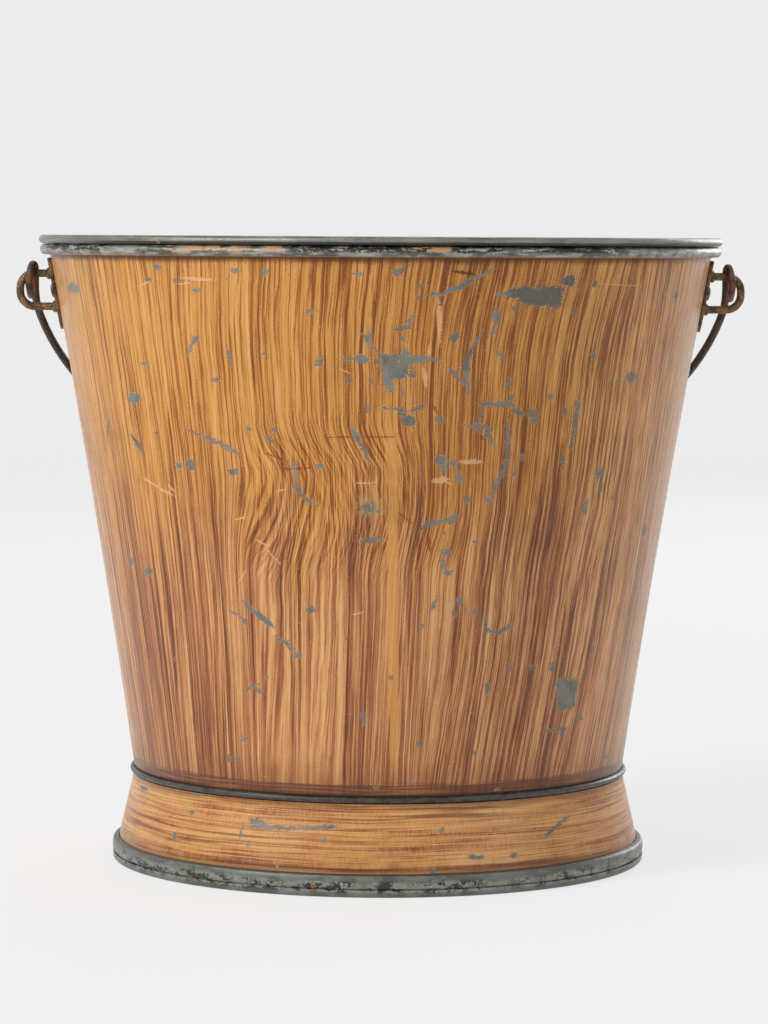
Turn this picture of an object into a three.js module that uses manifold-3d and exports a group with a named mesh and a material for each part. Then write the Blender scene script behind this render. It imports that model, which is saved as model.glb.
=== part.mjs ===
// A tapered tin milk pail with a wired rim, riveted ears, a swinging bail, a flared foot and a
// sunken lid. Millimetres, +Z up, origin on the floor under the middle of the pail. The front
// faces -Y, the ears are on the X axis, and the bail rests on the back.
import * as THREE from "three";
import { mergeVertices } from "three/addons/utils/BufferGeometryUtils.js";
import Module from "manifold-3d";

const wasm = await Module();
wasm.setup();

// Counts
const roundSteps = 44; // sides of every large round piece
const rollSteps = 7; // sides of a rolled edge
const wireSides = 8;
const rivetSides = 10;
const wallBands = 4;
const bendSteps = 8; // steps in half a turn of a bent wire
const archSteps = 26;
const ringWireSides = 6; // sides of a wire inside a rolled edge

// Stock and fits
const sheet = 0.7; // every pressed or rolled sheet
const seatGap = 0.3; // between pieces that touch
const overrun = 2; // how far a cutting shape reaches past what it cuts

// Wall and rim
const pailHeight = 294; // floor to the top of the rolled rim
const rimRadius = 162.5;
const rimRoll = 5; // outside thickness of the rolled rim
const waistHeight = 41.3; // top of the foot
const waistRadius = 117; // outside of the wall there
const wallHollow = 1.4; // how far the wall bows inward half way up
const wallTuck = 11; // how far the wall goes on inside the foot
const seamWidth = 6;
const seamRise = 0.8;
const seamSteps = 8; // round steps from the X axis to the seam

// Bottom
const flangeHeight = 8;
const lipHeight = 5;
const bottomStep = 2;
const bottomStepInset = 33; // from the waist's radius in to the step

// Foot
const footFlare = 10.6; // how much wider the hem at the floor is than the waist
const hemInset = 3; // from the hem's outside in to the skirt behind the hoop
const collarHeight = 3;
const hoopHeight = 10.5;
const hoopThickness = 2.9;
const hemHeight = 3.4;
const mouldingHeight = 3;
const mouldingRise = 1.8;

// Ears
const hingeDrop = 14.2; // rim's top to the upper leg of the ear loops
const loopWire = 3.8;
const loopDrop = 15.8; // upper leg to lower leg
const loopStand = 11.9; // how far the loop stands out beyond the rim
const upperBend = 4;
const lowerBend = 7;
const shoulderRadius = 2.9;
const shoulderLength = 2;
const clinchRadius = 3.1;
const clinchHeight = 1.4;
const plateDrop = 6.6; // rim's top to the plate's top
const plateWidth = 38;
const plateHeight = 34;
const plateThickness = 1.5;
const plateCorner = 5;
const plateToe = 6; // radius of the plate's lower end
const earRivetSpread = 11.5;
const earRivetDrop = 22; // rim's top to the rivets

// Rivets
const rivetRadius = 1.7;
const rivetHead = 3.3;
const rivetDome = 1.8;
const rivetTail = 2.8;
const rivetTailHeight = 0.9;
const rivetPlay = 0.3;

// Bail
const bailWire = 3.8;
const bailSpread = 5.2; // how much wider the arch is than the rim, each side
const bailRise = 17; // how much further than the rim the arch's middle is from the hinge
const hookPlay = 0.6;
const hookTip = 14; // length of the hook's free end
const strandStep = 2.2; // the hook's two strands lie side by side
const tipCurl = 2.2;
const armBlend = 30;

// Lid
const lidRoll = 4;
const lidOverhang = 0.5;
const lidPlay = 1.2; // between the lid's wall and the mouth
const lidDepth = 9.6; // pail's rim to the underside of the lid
const lidDraft = 4;
const lidCorner = 1.6;
const lidBeadInset = 49.5; // from the mouth's radius in to the bead
const lidBeadWidth = 8;
const lidBeadRise = 2;

// Lid ring
const ringWire = 3.6;
const ringHalfBar = 17;
const ringBend = 5;
const ringPlay = 0.4;
const ringJoint = 0.6; // open butt joint hidden in the clip
const clipSheet = 1.2;
const clipWidth = 14;
const clipReach = 16;
const clipRivetSpread = 10.5;

// Finishes, named for what shows
const finishes = {
  wood: { color: 0xb98552, roughness: 0.42, metalness: 0 },
  zinc: { color: 0x8b9093, roughness: 0.5, metalness: 0.7 },
  worn: { color: 0x55585a, roughness: 0.55, metalness: 0.5 },
  iron: { color: 0x4a3a30, roughness: 0.75, metalness: 0.4 },
};

// Sizes that follow from those above
const mouthRadius = rimRadius - rimRoll;
const bottomStepRadius = waistRadius - bottomStepInset;
const footRadius = waistRadius + footFlare;
const skirtRadius = footRadius - hemInset;
const hingeHeight = pailHeight - hingeDrop;
const plateTop = pailHeight - plateDrop;
const earRivetHeight = pailHeight - earRivetDrop;
const loopReach = rimRadius + loopStand; // outside of the loop from the pail's axis
const bailHalfWidth = rimRadius + bailSpread;
const bailReach = rimRadius + bailRise; // hinge to the middle of the arch
const lidBeadRadius = mouthRadius - lidBeadInset;
const rimRollHeight = pailHeight - rimRoll / 2;
const rimRollRadius = rimRadius - rimRoll / 2;
const wallTopRadius = mouthRadius + sheet;
const wallLow = waistHeight - wallTuck;

// Outside radius of the wall at a height
function wallRadius(height) {
  const t = (height - waistHeight) / (rimRollHeight - waistHeight);
  return THREE.MathUtils.lerp(waistRadius, wallTopRadius, t) + 4 * wallHollow * t * (t - 1);
}

// Lean of the wall from upright at a height
function wallLean(height) {
  const rise = sheet;
  return Math.atan((wallRadius(height + rise) - wallRadius(height - rise)) / (2 * rise));
}

// The round walls have flat sides, so between two edges they lie a little inside the circle
function flatRadius(radius, turn) {
  const half = Math.PI / roundSteps;
  return (radius * Math.cos(half)) / Math.cos(Math.abs(turn) - half);
}

// Closed outline of a sheet whose middle follows a path
function sheetOutline(path, thickness) {
  const left = [];
  const right = [];
  path.forEach((point, i) => {
    const before = path[Math.max(i - 1, 0)];
    const after = path[Math.min(i + 1, path.length - 1)];
    const inward = point.clone().sub(before);
    const onward = after.clone().sub(point);
    if (i === 0) inward.copy(onward);
    if (i === path.length - 1) onward.copy(inward);
    const normal = new THREE.Vector2(-inward.y, inward.x).normalize();
    const next = new THREE.Vector2(-onward.y, onward.x).normalize();
    const mitre = normal.clone().add(next).normalize();
    mitre.multiplyScalar(thickness / 2 / mitre.dot(normal));
    left.push(point.clone().add(mitre));
    right.unshift(point.clone().sub(mitre));
  });
  return [...left, ...right];
}

// Points on an arc, both ends included
function arc(centre, radius, from, to, steps) {
  return Array.from({ length: steps + 1 }, (_, i) => {
    const angle = from + ((to - from) * i) / steps;
    const x = centre.x + radius * Math.cos(angle);
    return new THREE.Vector2(x, centre.y + radius * Math.sin(angle));
  });
}

// An outline of radius and height, turned about +Z
function turned(outline, steps) {
  const points = THREE.ShapeUtils.area(outline) < 0 ? [...outline].reverse() : [...outline];
  const onAxis = points.some((point) => Math.abs(point.x) < 1e-9);
  if (onAxis) {
    while (Math.abs(points[0].x) > 1e-9 || Math.abs(points.at(-1).x) > 1e-9) {
      points.push(points.shift());
    }
  } else {
    points.push(points[0].clone());
  }
  return new THREE.LatheGeometry(points, steps).rotateX(Math.PI / 2).rotateZ(Math.PI / 2);
}

// A path through stations of its own spacing, so that tight bends get the short steps
class StationPath extends THREE.Curve {
  constructor(stations) {
    super();
    this.stations = stations;
  }

  getPointAt(u, target = new THREE.Vector3()) {
    const place = u * (this.stations.length - 1);
    const i = Math.min(Math.floor(place), this.stations.length - 2);
    return target.lerpVectors(this.stations[i], this.stations[i + 1], place - i);
  }

  getPoint(t, target) {
    return this.getPointAt(t, target);
  }

  getTangentAt(u, target = new THREE.Vector3()) {
    const last = this.stations.length - 1;
    const i = Math.round(u * last);
    const here = this.stations[i];
    const inward = here.clone().sub(this.stations[Math.max(i - 1, 0)]).normalize();
    const onward = this.stations[Math.min(i + 1, last)].clone().sub(here).normalize();
    return target.addVectors(inward, onward).normalize();
  }
}

// Round wire along stations
function wireAlong(stations, thickness) {
  const radius = thickness / 2;
  const corners = Array.from({ length: wireSides }, (_, i) => {
    const angle = (2 * Math.PI * (i + 0.5)) / wireSides;
    return new THREE.Vector2(radius * Math.cos(angle), radius * Math.sin(angle));
  });
  const options = {
    steps: stations.length - 1,
    extrudePath: new StationPath(stations),
    bevelEnabled: false,
  };
  return new THREE.ExtrudeGeometry(new THREE.Shape(corners), options);
}

// Geometry to solid and back, for cuts and joins
function solidOf(geometry) {
  const bare = geometry.index ? geometry.toNonIndexed() : geometry.clone();
  bare.deleteAttribute("normal");
  bare.deleteAttribute("uv");
  const merged = mergeVertices(bare, 1e-4);
  const mesh = new wasm.Mesh({
    numProp: 3,
    vertProperties: merged.attributes.position.array,
    triVerts: new Uint32Array(merged.index.array),
  });
  return new wasm.Manifold(mesh);
}

function geometryOf(solid) {
  const mesh = solid.getMesh();
  const geometry = new THREE.BufferGeometry();
  geometry.setAttribute("position", new THREE.BufferAttribute(mesh.vertProperties, 3));
  geometry.setIndex(new THREE.BufferAttribute(mesh.triVerts, 1));
  const flat = geometry.toNonIndexed();
  flat.computeVertexNormals();
  return flat;
}

function cutBy(geometry, cutters) {
  const cut = (solid, cutter) => solid.subtract(solidOf(cutter));
  return geometryOf(cutters.reduce(cut, solidOf(geometry)));
}

function piece(name, geometry, finish) {
  const material = new THREE.MeshStandardMaterial(finishes[finish]);
  const mesh = new THREE.Mesh(geometry, material);
  mesh.name = name;
  return mesh;
}

const point = (x, y) => new THREE.Vector2(x, y);

// Rivet along +Z from the inside of the wall out, its zero on the wall's outside
function rivetGeometry(grip, backing) {
  const outer = grip + seatGap;
  const inner = -backing - seatGap;
  return turned(
    [
      point(0, inner - rivetTailHeight),
      point(rivetTail * 0.8, inner - rivetTailHeight),
      point(rivetTail, inner),
      point(rivetRadius, inner),
      point(rivetRadius, outer),
      point(rivetHead, outer),
      point(rivetHead * 0.86, outer + rivetDome * 0.55),
      point(rivetHead * 0.5, outer + rivetDome * 0.9),
      point(0, outer + rivetDome),
    ],
    rivetSides,
  );
}

function drillGeometry(radius, length) {
  return new THREE.CylinderGeometry(radius, radius, length, rivetSides).rotateX(Math.PI / 2);
}

// Where an ear rivet stands on the right-hand side, +Z out of the wall
function earRivetPlace(spread) {
  const around = Math.asin(spread / wallRadius(earRivetHeight));
  const lean = wallLean(earRivetHeight);
  const radius = flatRadius(wallRadius(earRivetHeight), around);
  const place = new THREE.Object3D();
  place.position.set(radius * Math.cos(around), radius * Math.sin(around), earRivetHeight);
  const out = new THREE.Vector3(Math.cos(around), Math.sin(around), -Math.tan(lean)).normalize();
  place.quaternion.setFromUnitVectors(new THREE.Vector3(0, 0, 1), out);
  place.updateMatrix();
  return place.matrix;
}

const ears = [
  { side: "right", turn: 0 },
  { side: "left", turn: Math.PI },
];
const earRivets = [-earRivetSpread, earRivetSpread];
const legHeights = [hingeHeight, hingeHeight - loopDrop];

// Holes for the rivets and the loops' legs, on the right-hand side
function earHoles() {
  const length = 4 * (plateThickness + overrun);
  const holes = earRivets.map((spread) =>
    drillGeometry(rivetRadius + rivetPlay, length).applyMatrix4(earRivetPlace(spread)),
  );
  legHeights.forEach((height) => {
    const hole = drillGeometry(loopWire / 2 + rivetPlay, 2 * length);
    holes.push(hole.rotateY(Math.PI / 2).translate(wallRadius(height), 0, height));
  });
  return holes;
}

// Wall, with the lip round the bottom's flange below and the rolled rim above
function bodyShell() {
  const middle = (height) => wallRadius(height) - sheet / 2;
  const lipInset = 2 * (sheet + seatGap);
  const lipTop = wallLow + lipHeight;
  const rollMiddle = (rimRoll - sheet) / 2;
  const wall = Array.from({ length: wallBands + 1 }, (_, i) => {
    const height = THREE.MathUtils.lerp(waistHeight, rimRollHeight, i / wallBands);
    return point(middle(height), height);
  });
  const path = [
    point(middle(lipTop) - lipInset, lipTop),
    point(middle(wallLow) - lipInset, wallLow),
    point(middle(wallLow), wallLow),
    ...wall.slice(0, -1),
    ...arc(point(rimRollRadius, rimRollHeight), rollMiddle, Math.PI, -Math.PI * 0.72, rollSteps),
  ];
  const seamLow = waistHeight + mouldingHeight + 2 * seatGap;
  const seamHigh = rimRollHeight - rimRoll / 2;
  const seamPath = Array.from({ length: wallBands + 1 }, (_, i) => {
    const height = THREE.MathUtils.lerp(seamLow, seamHigh, i / wallBands);
    return point(wallRadius(height) + (seamRise - sheet / 2) / 2, height);
  });
  const seamShape = new THREE.Shape(sheetOutline(seamPath, seamRise + sheet / 2));
  const seam = new THREE.ExtrudeGeometry(seamShape, { depth: seamWidth, bevelEnabled: false });
  seam.translate(0, 0, -seamWidth / 2).rotateX(Math.PI / 2).rotateZ((2 * Math.PI * seamSteps) / roundSteps);
  const skin = solidOf(turned(sheetOutline(path, sheet), roundSteps));
  const holes = ears.flatMap(({ turn }) => earHoles().map((hole) => hole.rotateZ(turn)));
  return cutBy(geometryOf(skin.add(solidOf(seam))), holes);
}

function rimWire() {
  const radius = rimRoll / 2 - sheet - seatGap;
  const centre = point(rimRollRadius, rimRollHeight);
  return turned(arc(centre, radius, 0, 2 * Math.PI, ringWireSides).slice(1), roundSteps);
}

// Disc with a step for stiffness and a flange that the wall's lip holds
function bodyBottom() {
  const middle = (height) => wallRadius(height) - sheet / 2 - sheet - seatGap;
  const flangeLow = wallLow + sheet / 2 + seatGap;
  const disc = flangeLow + flangeHeight;
  const path = [
    point(0, disc + bottomStep),
    point(bottomStepRadius - bottomStep, disc + bottomStep),
    point(bottomStepRadius, disc),
    point(middle(disc), disc),
    point(middle(flangeLow), flangeLow),
  ];
  return turned(sheetOutline(path, sheet), roundSteps);
}

// Skirt from the waist to the floor, hemmed up outside the hoop
function footSkirt() {
  const middle = sheet / 2;
  const onWall = (height) => wallRadius(height) + seatGap + middle;
  const collarLow = waistHeight - collarHeight;
  const path = [
    point(onWall(waistHeight), waistHeight),
    point(onWall(waistHeight) + collarHeight * 0.08, collarLow),
    point(skirtRadius - middle, hoopHeight + seatGap),
    point(skirtRadius - middle, middle),
    point(footRadius - middle, middle),
    point(footRadius - middle, hemHeight),
  ];
  return turned(sheetOutline(path, sheet), roundSteps);
}

// Half-round hoop, thinner where the hem covers it
function footHoop() {
  const inside = skirtRadius + seatGap;
  const underHem = footRadius - sheet - seatGap;
  const low = sheet + seatGap;
  const hemTop = hemHeight + seatGap;
  const bulge = hoopHeight - hemTop;
  return turned(
    [
      point(inside, low),
      point(underHem, low),
      point(underHem, hemTop),
      point(inside + hoopThickness * 0.93, hemTop + bulge * 0.1),
      point(inside + hoopThickness, hemTop + bulge * 0.42),
      point(inside + hoopThickness * 0.86, hemTop + bulge * 0.74),
      point(inside + hoopThickness * 0.45, hoopHeight),
      point(inside, hoopHeight),
    ],
    roundSteps,
  );
}

// Half-round bead on the wall, over the top edge of the foot
function waistMoulding() {
  const low = waistHeight + seatGap;
  const high = low + mouldingHeight;
  const onWall = (height) => wallRadius(height) + seatGap;
  const middle = (low + high) / 2;
  return turned(
    [
      point(onWall(low), low),
      point(onWall(low) + mouldingRise * 0.75, low + mouldingHeight * 0.1),
      point(onWall(middle) + mouldingRise, middle),
      point(onWall(high) + mouldingRise * 0.7, high - mouldingHeight * 0.1),
      point(onWall(high), high),
    ],
    roundSteps,
  );
}

// Ring of space that follows the wall, between two distances from its outside
function wallShell(near, far, low, high) {
  const middle = (low + high) / 2;
  return turned(
    [
      point(wallRadius(low) + near, low),
      point(wallRadius(low) + far, low),
      point(wallRadius(middle) + far, middle),
      point(wallRadius(high) + far, high),
      point(wallRadius(high) + near, high),
      point(wallRadius(middle) + near, middle),
    ],
    roundSteps,
  );
}

// Shield-shaped plate, curved to the wall, on the right-hand side
function earPlate() {
  const half = plateWidth / 2;
  const low = plateTop - plateHeight;
  const toe = low + plateToe;
  const shoulder = plateTop - plateCorner;
  const waist = THREE.MathUtils.lerp(shoulder, toe, 0.55);
  const shield = new THREE.Shape();
  shield.moveTo(plateCorner - half, plateTop);
  shield.absarc(plateCorner - half, shoulder, plateCorner, Math.PI / 2, Math.PI, false);
  shield.bezierCurveTo(-half, waist, -plateToe * 1.5, toe, -plateToe, toe);
  shield.absarc(0, toe, plateToe, Math.PI, 2 * Math.PI, false);
  shield.bezierCurveTo(plateToe * 1.5, toe, half, waist, half, shoulder);
  shield.absarc(half - plateCorner, shoulder, plateCorner, 0, Math.PI / 2, false);
  const options = { depth: rimRadius, curveSegments: bendSteps / 2, bevelEnabled: false };
  const column = new THREE.ExtrudeGeometry(shield, options);
  const across = new THREE.Vector3(0, 1, 0);
  const up = new THREE.Vector3(0, 0, 1);
  const out = new THREE.Vector3(1, 0, 0);
  column.applyMatrix4(new THREE.Matrix4().makeBasis(across, up, out));
  const shell = wallShell(seatGap, seatGap + plateThickness, low - overrun, plateTop + overrun);
  return cutBy(geometryOf(solidOf(shell).intersect(solidOf(column))), earHoles());
}

// D-shaped staple: shoulders against the plate, legs through the wall, ends clinched inside
function earLoop() {
  const outer = loopReach - loopWire / 2;
  const [high, low] = legHeights;
  const tail = (height) => wallRadius(height) - sheet - seatGap - clinchHeight / 2;
  const plan = [
    point(tail(high), high),
    ...arc(point(outer - upperBend, high - upperBend), upperBend, Math.PI / 2, 0, bendSteps / 2),
    ...arc(point(outer - lowerBend, low + lowerBend), lowerBend, 0, -Math.PI / 2, bendSteps / 2),
    point(tail(low), low),
  ];
  const wire = wireAlong(plan.map(({ x, y }) => new THREE.Vector3(x, 0, y)), loopWire);
  const through = wallShell(
    -sheet - seatGap,
    plateThickness + 2 * seatGap,
    low - 2 * clinchRadius,
    high + 2 * clinchRadius,
  );
  const ends = legHeights.map((height) => {
    const inside = -sheet - seatGap - clinchHeight;
    const outside = plateThickness + 2 * seatGap + shoulderLength;
    const spindle = turned(
      [
        point(0, inside),
        point(clinchRadius * 0.75, inside),
        point(clinchRadius, inside + clinchHeight * 0.6),
        point(clinchRadius, 0),
        point(shoulderRadius, 0),
        point(shoulderRadius, plateThickness + 2 * seatGap),
        point(loopWire / 2 - seatGap, outside),
        point(0, outside),
      ],
      rivetSides,
    );
    return cutBy(spindle.rotateY(Math.PI / 2).translate(wallRadius(height), 0, height), [through]);
  });
  return geometryOf(ends.reduce((solid, end) => solid.add(solidOf(end)), solidOf(wire)));
}

// How far the bail leans back from upright when its arch rests on the wall
function bailRestTurn() {
  let dip = 0;
  for (let i = 0; i < 40; i += 1) {
    const touch = wallRadius(hingeHeight - bailReach * Math.sin(dip));
    dip = Math.acos((touch + seatGap + bailWire / 2) / bailReach);
  }
  return Math.PI / 2 + dip;
}

// Upright, the hinge at the origin: hook, arm, arch, arm and hook in one wire
function bailGeometry() {
  const hookRadius = loopWire / 2 + hookPlay + bailWire / 2;
  const hookCentre = hookPlay - seatGap;
  const tipAcross = loopReach - loopWire - 2 * seatGap - bailWire / 2;
  const armAcross = tipAcross - strandStep;
  const archAcross = (height) => bailHalfWidth * Math.sqrt(1 - (height / bailReach) ** 2);
  const half = [
    new THREE.Vector3(tipAcross, tipCurl, hookTip),
    new THREE.Vector3(tipAcross, hookRadius * 0.85, hookTip * 0.72),
    new THREE.Vector3(tipAcross, hookRadius, hookTip * 0.45),
  ];
  for (let i = 0; i <= bendSteps; i += 1) {
    const t = i / bendSteps;
    const across = THREE.MathUtils.lerp(tipAcross, armAcross, t);
    const depth = hookRadius * Math.cos(Math.PI * t);
    half.push(new THREE.Vector3(across, depth, hookCentre - hookRadius * Math.sin(Math.PI * t)));
  }
  const armSteps = bendSteps / 2;
  for (let i = 1; i < armSteps; i += 1) {
    const height = THREE.MathUtils.lerp(hookCentre, armBlend, i / armSteps);
    const ease = THREE.MathUtils.smoothstep(height, hookCentre, armBlend);
    const across = THREE.MathUtils.lerp(armAcross, archAcross(height), ease);
    half.push(new THREE.Vector3(across, -hookRadius * (1 - ease), height));
  }
  const start = Math.asin(armBlend / bailReach);
  for (let i = 0; i < archSteps / 2; i += 1) {
    const angle = THREE.MathUtils.lerp(start, Math.PI / 2, (2 * i) / archSteps);
    half.push(new THREE.Vector3(bailHalfWidth * Math.cos(angle), 0, bailReach * Math.sin(angle)));
  }
  const top = new THREE.Vector3(0, 0, bailReach);
  const mirrored = [...half].reverse().map(({ x, y, z }) => new THREE.Vector3(-x, y, z));
  return wireAlong([...half, top, ...mirrored], bailWire);
}

// Lid: a flat pan with a pressed bead, a wall that drops into the mouth and a rolled edge that
// lies on the pail's rim
const lidRollRadius = rimRadius + lidOverhang - lidRoll / 2;
const lidSeat = (rimRoll + lidRoll) / 2 + seatGap;
const lidRollHeight = rimRollHeight + Math.sqrt(lidSeat ** 2 - (lidRollRadius - rimRollRadius) ** 2);
const lidFloor = pailHeight - lidDepth + sheet; // upper face of the pan

function lidPan() {
  const middle = sheet / 2;
  const floor = lidFloor - middle;
  const ledge = lidRollHeight + lidRoll / 2 - middle;
  const wallTop = mouthRadius - lidPlay - middle;
  const roll = point(lidRollRadius, lidRollHeight);
  const beadOut = lidBeadRadius + lidBeadWidth / 2;
  const beadIn = lidBeadRadius - lidBeadWidth / 2;
  const path = [
    point(0, floor),
    point(beadIn - lidBeadRise, floor),
    point(beadIn, floor + lidBeadRise),
    point(beadOut, floor + lidBeadRise),
    point(beadOut + lidBeadRise, floor),
    point(wallTop - lidDraft - lidCorner, floor),
    point(wallTop - lidDraft, floor + lidCorner),
    point(wallTop, ledge - lidCorner),
    point(wallTop + lidCorner, ledge),
    ...arc(roll, lidRoll / 2 - middle, Math.PI / 2, -Math.PI * 1.05, rollSteps - 1),
  ];
  const clearance = rivetRadius + rivetPlay;
  const holes = [-clipRivetSpread, clipRivetSpread].map((across) =>
    drillGeometry(clearance, 2 * overrun).translate(0, across, floor),
  );
  return cutBy(turned(sheetOutline(path, sheet), roundSteps), holes);
}

function lidWire() {
  const radius = lidRoll / 2 - sheet - seatGap;
  const centre = point(lidRollRadius, lidRollHeight);
  return turned(arc(centre, radius, 0, 2 * Math.PI, ringWireSides).slice(1), roundSteps);
}

// Height of the ring's bar above the pan
const ringLift = seatGap + ringWire / 2;

// Strap bent over the ring's bar, its feet riveted down
function ringClip() {
  const foot = seatGap + clipSheet / 2;
  const bend = ringWire / 2 + ringPlay + clipSheet / 2;
  const path = [
    point(-clipReach, foot),
    point(-bend, foot),
    ...arc(point(0, ringLift), bend, Math.PI, 0, bendSteps),
    point(bend, foot),
    point(clipReach, foot),
  ];
  const strap = new THREE.Shape(sheetOutline(path, clipSheet));
  const geometry = new THREE.ExtrudeGeometry(strap, { depth: clipWidth, bevelEnabled: false });
  geometry.translate(0, 0, -clipWidth / 2).rotateX(Math.PI / 2).rotateZ(Math.PI / 2);
  const holes = [-clipRivetSpread, clipRivetSpread].map((across) =>
    drillGeometry(rivetRadius + rivetPlay, 2 * overrun).translate(0, across, foot),
  );
  return cutBy(geometry, holes);
}

// D-shaped ring, its bar on the hinge, its bow towards the front
function ringGeometry() {
  const bow = ringHalfBar + ringBend;
  const half = [
    point(ringJoint / 2, 0),
    ...arc(point(ringHalfBar, -ringBend), ringBend, Math.PI / 2, 0, bendSteps / 2),
    ...arc(point(0, -ringBend), bow, 0, -Math.PI / 2, bendSteps).slice(1),
  ];
  const mirrored = [...half].reverse().slice(1).map(({ x, y }) => point(-x, y));
  const stations = [...half, ...mirrored].map(({ x, y }) => new THREE.Vector3(x, y, 0));
  return wireAlong(stations, ringWire);
}

const pail = new THREE.Group();
pail.add(piece("body_shell", bodyShell(), "wood"));
pail.add(piece("rim_wire", rimWire(), "iron"));
pail.add(piece("body_bottom", bodyBottom(), "zinc"));
pail.add(piece("foot_skirt", footSkirt(), "wood"));
pail.add(piece("foot_hoop", footHoop(), "worn"));
pail.add(piece("waist_moulding", waistMoulding(), "worn"));

ears.forEach(({ side, turn }) => {
  const ear = new THREE.Group();
  ear.rotation.z = turn;
  ear.add(piece(`ear_plate_${side}`, earPlate(), "iron"));
  ear.add(piece(`ear_loop_${side}`, earLoop(), "iron"));
  earRivets.forEach((spread) => {
    const front = spread < 0 === (side === "right");
    const rivet = piece(
      `ear_rivet_${side}_${front ? "front" : "back"}`,
      rivetGeometry(seatGap + plateThickness, sheet),
      "iron",
    );
    rivet.applyMatrix4(earRivetPlace(spread));
    ear.add(rivet);
  });
  pail.add(ear);
});

const bail = piece("bail", bailGeometry(), "iron");
bail.position.z = hingeHeight;
bail.rotation.x = -bailRestTurn();
pail.add(bail);

const lid = new THREE.Group();
lid.add(piece("lid_pan", lidPan(), "zinc"));
lid.add(piece("lid_wire", lidWire(), "iron"));
const fittings = new THREE.Group();
fittings.position.z = lidFloor;
fittings.add(piece("lid_ring_clip", ringClip(), "iron"));
const ring = piece("lid_ring", ringGeometry(), "iron");
ring.position.z = ringLift;
fittings.add(ring);
[-clipRivetSpread, clipRivetSpread].forEach((across) => {
  const name = across < 0 ? "lid_rivet_front" : "lid_rivet_back";
  const rivet = piece(name, rivetGeometry(seatGap + clipSheet, sheet), "iron");
  rivet.position.y = across;
  fittings.add(rivet);
});
lid.add(fittings);
pail.add(lid);

export default pail;
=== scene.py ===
import math

import bpy
from mathutils import Matrix, Vector


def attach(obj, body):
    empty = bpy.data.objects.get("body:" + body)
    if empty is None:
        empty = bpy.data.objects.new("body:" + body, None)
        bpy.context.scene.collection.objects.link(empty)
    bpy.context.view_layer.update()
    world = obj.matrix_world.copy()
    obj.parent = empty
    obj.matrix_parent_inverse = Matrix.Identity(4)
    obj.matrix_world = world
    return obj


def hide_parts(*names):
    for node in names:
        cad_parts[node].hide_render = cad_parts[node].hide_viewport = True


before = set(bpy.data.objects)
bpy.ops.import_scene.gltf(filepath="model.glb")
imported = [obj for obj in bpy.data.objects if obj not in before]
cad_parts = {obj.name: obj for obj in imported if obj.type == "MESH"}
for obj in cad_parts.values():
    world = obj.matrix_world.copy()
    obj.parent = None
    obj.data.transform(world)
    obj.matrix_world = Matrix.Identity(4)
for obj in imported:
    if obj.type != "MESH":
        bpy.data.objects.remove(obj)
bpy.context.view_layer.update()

mm = 0.001

# Camera, fitted to the outline of rim, wall and foot in the photograph
cameraFit = {
    "place": (0.0022, -1.9, 0.2989), "pitch": -4.0, "roll": 0.3,
    "lens": 139.26, "sensor": 36.0, "width": 768, "height": 1024,
}
cameraTurn = (
    Matrix.Rotation(math.radians(90 + cameraFit["pitch"]), 4, "X")
    @ Matrix.Rotation(math.radians(cameraFit["roll"]), 4, "Z")
)
bpy.ops.object.camera_add(location=cameraFit["place"], rotation=cameraTurn.to_euler())
camera = bpy.context.object
camera.name = "camera"
camera.data.sensor_fit = "VERTICAL"
camera.data.sensor_height = cameraFit["sensor"]
camera.data.lens = cameraFit["lens"]
camera.data.clip_end = 50
bpy.context.scene.camera = camera
print("camera placed")

# Sizes of the pail, millimetres, the same as in the part
pail = {
    "sheet": 0.7, "gap": 0.3, "height": 294, "rimRadius": 162.5, "rimRoll": 5,
    "waistHeight": 41.3, "waistRadius": 117, "wallHollow": 1.4, "wallTuck": 11,
    "sides": 176, "smoothAngle": 42,
}
sheet = pail["sheet"]
gap = pail["gap"]
mouthRadius = pail["rimRadius"] - pail["rimRoll"]
rollHeight = pail["height"] - pail["rimRoll"] / 2
rollRadius = pail["rimRadius"] - pail["rimRoll"] / 2
wallTopRadius = mouthRadius + sheet
wallLow = pail["waistHeight"] - pail["wallTuck"]


def wallRadius(height):
    t = (height - pail["waistHeight"]) / (rollHeight - pail["waistHeight"])
    straight = pail["waistRadius"] + (wallTopRadius - pail["waistRadius"]) * t
    return straight + 4 * pail["wallHollow"] * t * (t - 1)


def wallLean(height):
    return math.atan((wallRadius(height + 1) - wallRadius(height - 1)) / 2)


foot = {
    "radius": 127.6, "skirtRadius": 124.6, "collar": 3, "collarLean": 0.08,
    "hoopHeight": 10.5, "hoopThickness": 2.9, "hoopFullness": 0.45, "hoopSteps": 14,
    "hemHeight": 3.4, "hemBend": 1.1,
}


def skirtRadiusAt(height):  # outside of the skirt between the collar and the hoop
    high = pail["waistHeight"] - foot["collar"]
    low = foot["hoopHeight"] + gap
    t = min(max((height - low) / (high - low), 0), 1)
    collar = wallRadius(pail["waistHeight"]) + gap + sheet + foot["collar"] * foot["collarLean"]
    return foot["skirtRadius"] + (collar - foot["skirtRadius"]) * t


def outsideRadius(height):
    return wallRadius(height) if height > pail["waistHeight"] else skirtRadiusAt(height)


# A pattern on the pail lies on a flat map: arc at this radius from the front, and height
arcRadius = 0.14
aimSteps = 12
middlePixel = 384


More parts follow.
